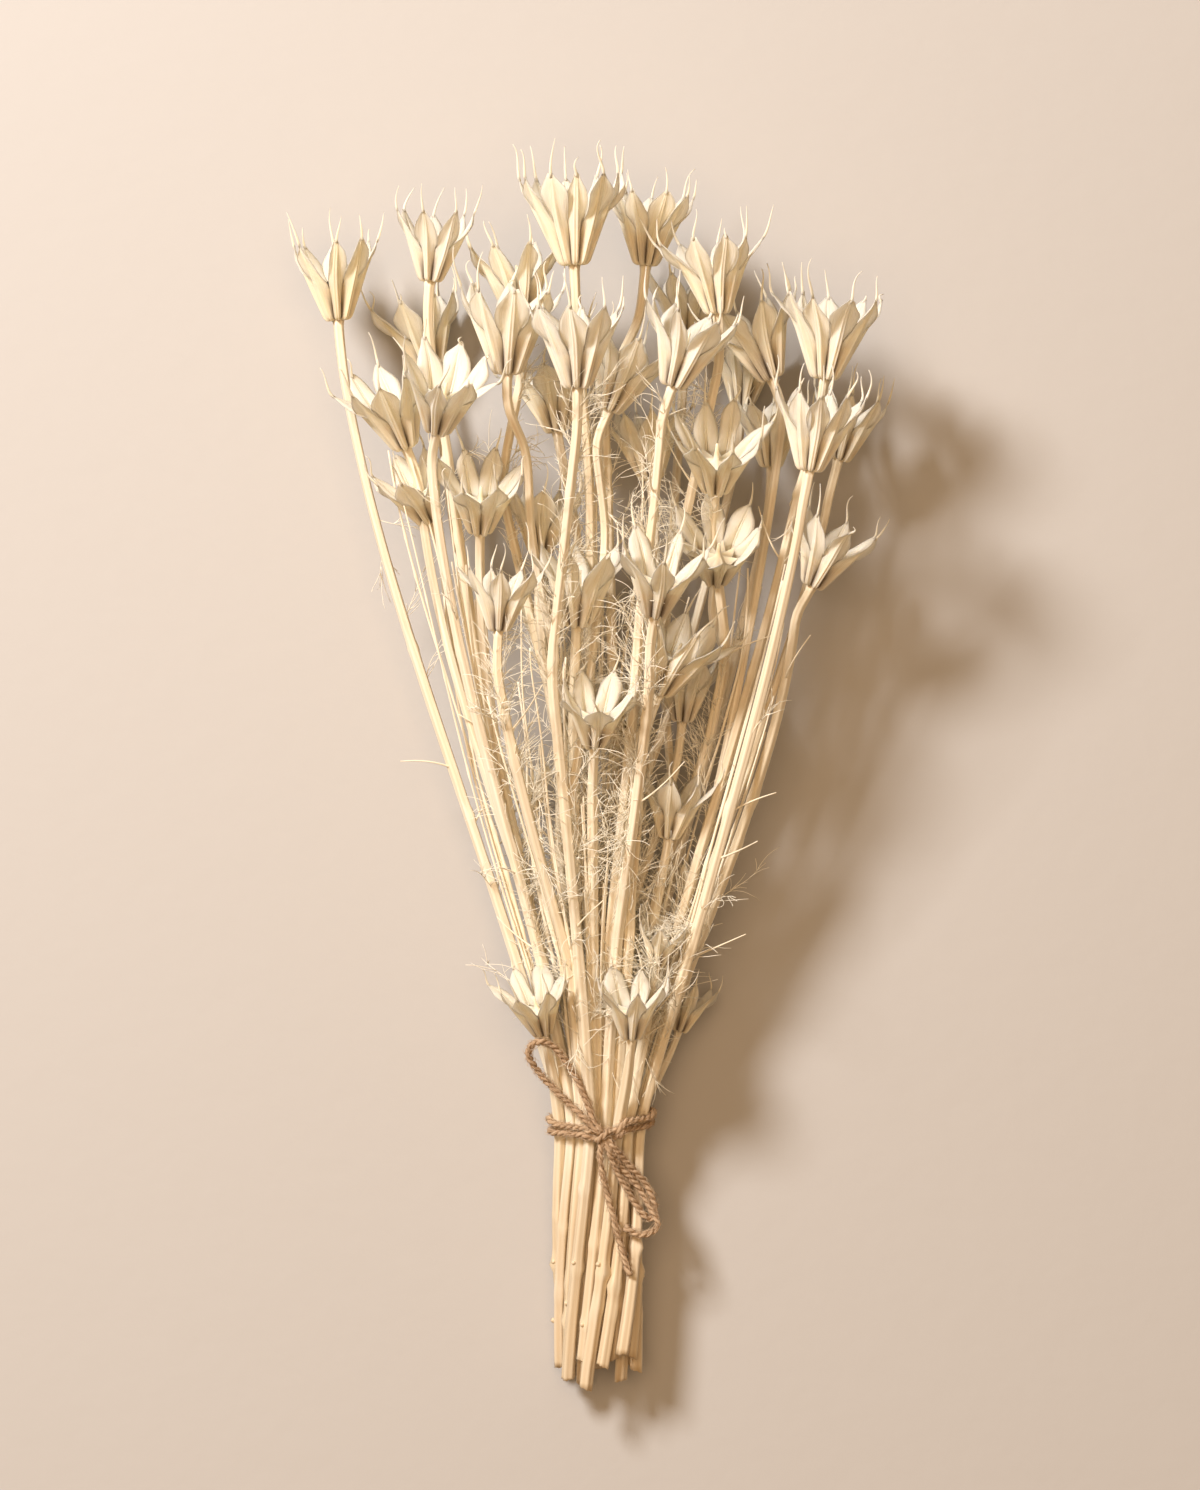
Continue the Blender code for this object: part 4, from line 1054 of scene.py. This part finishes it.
def twisted(name, line, material, rng):
    """Two strands of jute twisted along a line, with the loose fibres that stand off them."""
    piece = Piece()
    line = rounded(line, max(int(lengths(line)[-1] / TWINE_STEP), 4) + 1)
    forward, side, up = frames_along(line)
    run = lengths(line)
    for ply in (0.0, math.pi):
        turn = 2 * np.pi * run / TWIST_LENGTH + ply
        strand = line + PLY_OFFSET * (np.cos(turn)[:, None] * side + np.sin(turn)[:, None] * up)
        rough = 1 + 0.12 * np.sin(run[:, None] * 2.3 + rng.uniform(0, ROUND, PLY_SIDES)[None]) \
            + 0.1 * np.sin(run[:, None] * 0.7 + rng.uniform(0, ROUND)) \
            + rng.uniform(-0.13, 0.13, (len(line), PLY_SIDES))
        shape, faces, angle = tube(strand, PLY_RADIUS * rough, PLY_SIDES)
        piece.add(shape, faces, grain=round_grain(angle, run) + anywhere(rng), tint=rng.uniform(0, 1))
    t = np.linspace(0, 1, FIBRE_POINTS)[:, None]
    for _ in range(int(run[-1] * FIBRES_PER_MM)):
        at = rng.integers(0, len(line))
        a = rng.uniform(0, ROUND)
        out = math.cos(a) * side[at] + math.sin(a) * up[at]
        heading = forward[at] * rng.choice([-1, 1]) + out * rng.uniform(0.1, 0.9)
        bend = rng.normal(0, 0.5, 3)
        hair = line[at] + 1.1 * out + rng.uniform(*FIBRE_LENGTH) * (t * heading + t * t * bend * 0.5)
        if np.linalg.norm(hair[:, None] - line[None], axis=2).min(1).max() > FIBRE_STANDS_OFF:
            continue
        shape, faces, _ = tube(hair, np.linspace(*FIBRE_RADII, FIBRE_POINTS), 3)
        piece.add(shape, faces, grain=long_grain(t[:, 0] * 3, 3) + anywhere(rng),
                  tint=rng.uniform(0.3, 1), inner=1.0)
    return piece.make(name, [material], "jute_twine"), line


def layered_material(name, fine, patch, by_tint, layers, roughness, bump, sockets=()):
    """A material whose colours lie over one another, with its roughness and bump from its fine noise.

    fine and patch are noises, as (how the grain is stretched, detail). by_tint holds the colours of the
    lowest and the highest tint. A layer is (where it shows, its share, the noise's range, its colour): it
    shows by a noise, or by a value of the points, which the fine noise breaks up if a range is given.
    """
    made = bpy.data.materials.new(name)
    made.use_nodes = True
    nodes, links = made.node_tree.nodes, made.node_tree.links
    shader = nodes["Principled BSDF"]

    def filled(socket, value):
        if isinstance(value, tuple):
            socket.default_value = (*value, 1.0)
        elif isinstance(value, float):
            socket.default_value = value
        else:
            links.new(value, socket)

    def attribute(named):
        node = nodes.new("ShaderNodeAttribute")
        node.attribute_name = named
        return node.outputs["Vector" if named == "grain" else "Fac"]

    def noise(stretch, detail):
        scaled = nodes.new("ShaderNodeVectorMath")
        scaled.operation = "MULTIPLY"
        scaled.inputs[1].default_value = stretch
        links.new(attribute("grain"), scaled.inputs[0])
        node = nodes.new("ShaderNodeTexNoise")
        node.inputs["Scale"].default_value = 1.0
        node.inputs["Detail"].default_value = detail
        links.new(scaled.outputs[0], node.inputs["Vector"])
        return node.outputs["Fac"]

    def spread(value, low, high, to_low, to_high):
        node = nodes.new("ShaderNodeMapRange")
        for socket, number in zip(node.inputs, (value, low, high, to_low, to_high)):
            filled(socket, number)
        return node.outputs[0]

    def product(a, b):
        node = nodes.new("ShaderNodeMath")
        node.operation = "MULTIPLY"
        node.use_clamp = True
        filled(node.inputs[0], a)
        filled(node.inputs[1], b)
        return node.outputs[0]

    def mixed(factor, a, b):
        node = nodes.new("ShaderNodeMix")
        node.data_type = "RGBA"
        for socket, value in zip((node.inputs[0], node.inputs[6], node.inputs[7]), (factor, a, b)):
            filled(socket, value)
        return node.outputs[2]

    noises = {"fine": noise(*fine), "patch": noise(*patch)}
    colour = mixed(attribute("tint"), *by_tint)
    for where, share, reach, over in layers:
        if where in noises:
            factor = spread(noises[where], *reach, 0.0, share)
        else:
            factor = product(attribute(where), spread(noises["fine"], *reach) if reach else share)
        colour = mixed(factor, colour, over)
    links.new(colour, shader.inputs["Base Color"])
    links.new(spread(noises["fine"], *roughness), shader.inputs["Roughness"])
    rise = nodes.new("ShaderNodeBump")
    rise.inputs["Strength"].default_value, rise.inputs["Distance"].default_value = bump
    links.new(noises["fine"], rise.inputs["Height"])
    links.new(rise.outputs[0], shader.inputs["Normal"])
    for socket, value in sockets:
        shader.inputs[socket].default_value = value
    return made


def stem_material():
    return layered_material(
        "bleached_stem", ((1.6, 1.6, 0.06), 4.0), ((0.1, 0.1, 0.035), 2.0),
        ((0.87, 0.775, 0.575), (0.93, 0.86, 0.70)),
        [("patch", 0.5, (0.35, 0.7), (0.88, 0.73, 0.48)),
         ("fine", 0.45, (0.52, 0.72), (0.76, 0.58, 0.36)),
         ("fine", 0.5, (0.42, 0.25), (0.95, 0.90, 0.76)),
         # deep: painted shade in the rib valleys, at the cut ends and below the tie
         ("deep", 0.6, None, (0.56, 0.40, 0.22)),
         ("taupe", 1.0, None, (0.45, 0.39, 0.32)),
         ("inner", 1.0, None, (0.97, 0.92, 0.78))],
        (0.3, 0.7, 0.45, 0.68), (0.5, 0.00025))


def pod_material():
    return layered_material(
        "papery_pod", ((2.6, 1.2, 0.09), 4.0), ((0.3, 0.3, 0.12), 2.0),
        # The lighter, higher tint also stands for painted light on the higher pods
        ((0.83, 0.72, 0.50), (0.90, 0.84, 0.70)),
        [("patch", 0.5, (0.4, 0.7), (0.80, 0.69, 0.50)),
         ("fine", 0.5, (0.54, 0.7), (0.66, 0.52, 0.33)),
         ("fine", 0.5, (0.42, 0.28), (0.94, 0.89, 0.77)),
         # inner: the paler inside of the blades, and painted highlight on their lips
         ("inner", 0.8, None, (0.83, 0.77, 0.62)),
         ("taupe", 1.0, (0.3, 0.6, 0.45, 1.0), (0.36, 0.31, 0.26)),
         # deep: painted shade in the folds near the foot and in the hollow of the middle
         ("deep", 1.0, None, (0.13, 0.085, 0.05))],
        (0.3, 0.7, 0.5, 0.68), (0.7, 0.0003),
        [("Subsurface Weight", 0.5), ("Subsurface Radius", (1.0, 0.88, 0.7)), ("Subsurface Scale", 0.002),
         ("Specular IOR Level", 0.3)])


def jute_material():
    return layered_material(
        "jute_fibre", ((3.2, 3.2, 0.5), 5.0), ((0.5, 0.5, 0.25), 2.0),
        ((0.44, 0.29, 0.17), (0.55, 0.39, 0.24)),
        [("patch", 0.7, (0.35, 0.7), (0.36, 0.23, 0.13)),
         ("fine", 1.0, (0.5, 0.72), (0.70, 0.53, 0.35)),
         ("fine", 0.8, (0.42, 0.26), (0.20, 0.125, 0.07)),
         ("inner", 0.7, None, (0.66, 0.49, 0.32))],
        (0.3, 0.7, 0.95, 0.75), (0.8, 0.0004))


def floor():
    mesh = bpy.data.meshes.new("floor")
    corners = [(-1, -1), (1, -1), (1, 1), (-1, 1)]
    mesh.from_pydata([(x * FLOOR_HALF, y * FLOOR_HALF, 0) for x, y in corners], [], [(0, 1, 2, 3)])
    obj = bpy.data.objects.new("floor", mesh)
    bpy.context.scene.collection.objects.link(obj)
    made = bpy.data.materials.new("pale_floor")
    made.use_nodes = True
    nodes, links = made.node_tree.nodes, made.node_tree.links
    shader = nodes["Principled BSDF"]
    shader.inputs["Base Color"].default_value = FLOOR_COLOUR
    shader.inputs["Roughness"].default_value = 0.9
    place = nodes.new("ShaderNodeTexCoord")
    noise = nodes.new("ShaderNodeTexNoise")
    noise.inputs["Scale"].default_value = 90.0
    noise.inputs["Detail"].default_value = 4.0
    bump = nodes.new("ShaderNodeBump")
    bump.inputs["Strength"].default_value = 0.25
    bump.inputs["Distance"].default_value = 0.0006
    links.new(place.outputs["Object"], noise.inputs["Vector"])
    links.new(noise.outputs["Fac"], bump.inputs["Height"])
    links.new(bump.outputs[0], shader.inputs["Normal"])
    mesh.materials.append(made)


def camera():
    data = bpy.data.cameras.new("camera")
    data.sensor_width = SENSOR
    data.lens = SENSOR * CAMERA_AWAY / VIEW_HEIGHT
    data.clip_end = 20.0
    obj = bpy.data.objects.new("camera", data)
    bpy.context.scene.collection.objects.link(obj)
    obj.location = (np.array([*VIEW_CENTRE, PODS_PLANE + CAMERA_AWAY]) + SHIFT) * MM
    bpy.context.scene.camera = obj


def area_light(name, place, size, power, colour):
    """A round light at this place that points at the frame's origin."""
    data = bpy.data.lights.new(name, "AREA")
    data.shape = "DISK"
    data.size, data.energy, data.color = size, power, colour
    obj = bpy.data.objects.new(name, data)
    bpy.context.scene.collection.objects.link(obj)
    obj.location = place
    obj.rotation_mode = "QUATERNION"
    obj.rotation_quaternion = Vector(unit(np.array(place))).to_track_quat("Z", "Y")


def lights():
    area_light("key", KEY_PLACE, KEY_SIZE, KEY_POWER, KEY_COLOUR)
    area_light("overhead", OVERHEAD_PLACE, OVERHEAD_SIZE, OVERHEAD_POWER, WARM)
    world = bpy.data.worlds.new("world")
    world.use_nodes = True
    sky = world.node_tree.nodes["Background"]
    sky.inputs["Color"].default_value = SKY
    sky.inputs["Strength"].default_value = SKY_STRENGTH
    bpy.context.scene.world = world
    bpy.context.scene.view_settings.view_transform = "Standard"


def dressed_twine(pods, room, jute):
    turns, strands, knot = twine_lines(pods, room)
    rng = np.random.default_rng(SEED * 7)
    for i, path in enumerate(turns):
        twisted(f"jute_turn_{i}", along(np.vstack([path, path[:1]]), 2.0), jute, rng)
    twisted("jute_knot", np.vstack([knot, knot[:2]]), jute, rng)
    for name, line in zip(("jute_loop_up", "jute_loop_down", "jute_end_long", "jute_end_curled"), strands):
        piece, fine = twisted(name, line, jute, rng)
        path = ((fine + SHIFT) * MM).tolist()


def drawn(pods):
    """The numbers that vary each pod, drawn in the order in which the solids draw them."""
    rng = random.Random(SEED)
    draws = {}
    for stem in STEMS:
        for pod in [p for p in pods if p.stem == stem]:
            end = CUT_END_Y + rng.uniform(0, CUT_ENDS_VARY) if pod.rank == 0 else 0.0
            start = rng.uniform(0, 2 * math.pi)
            slant = rng.uniform(-CUT_SLANT, CUT_SLANT) if pod.rank == 0 else 0.0
            openings = [rng.uniform(0.86, 1.04) for _ in range(pod.carpels)]
            reaches = [rng.uniform(0.92, 1.04) for _ in range(pod.carpels)]
            draws[pod] = (end, start, slant, openings, reaches)
    return draws


pods = lay_out()
found, room = sprigs(pods, filled_room(pods), random.Random(SEED + 1))
camera()
dressed_twine(pods, room, jute_material())
draws = drawn(pods)
materials = [stem_material(), pod_material()]
leaders = [p for p in pods if p.rank == 0]
for number, stem in enumerate(STEMS):
    own = [p for p in pods if p.stem == stem]
    dressed_stem(stem, own, leaders, found[stem], draws, materials, number)
floor()
lights()
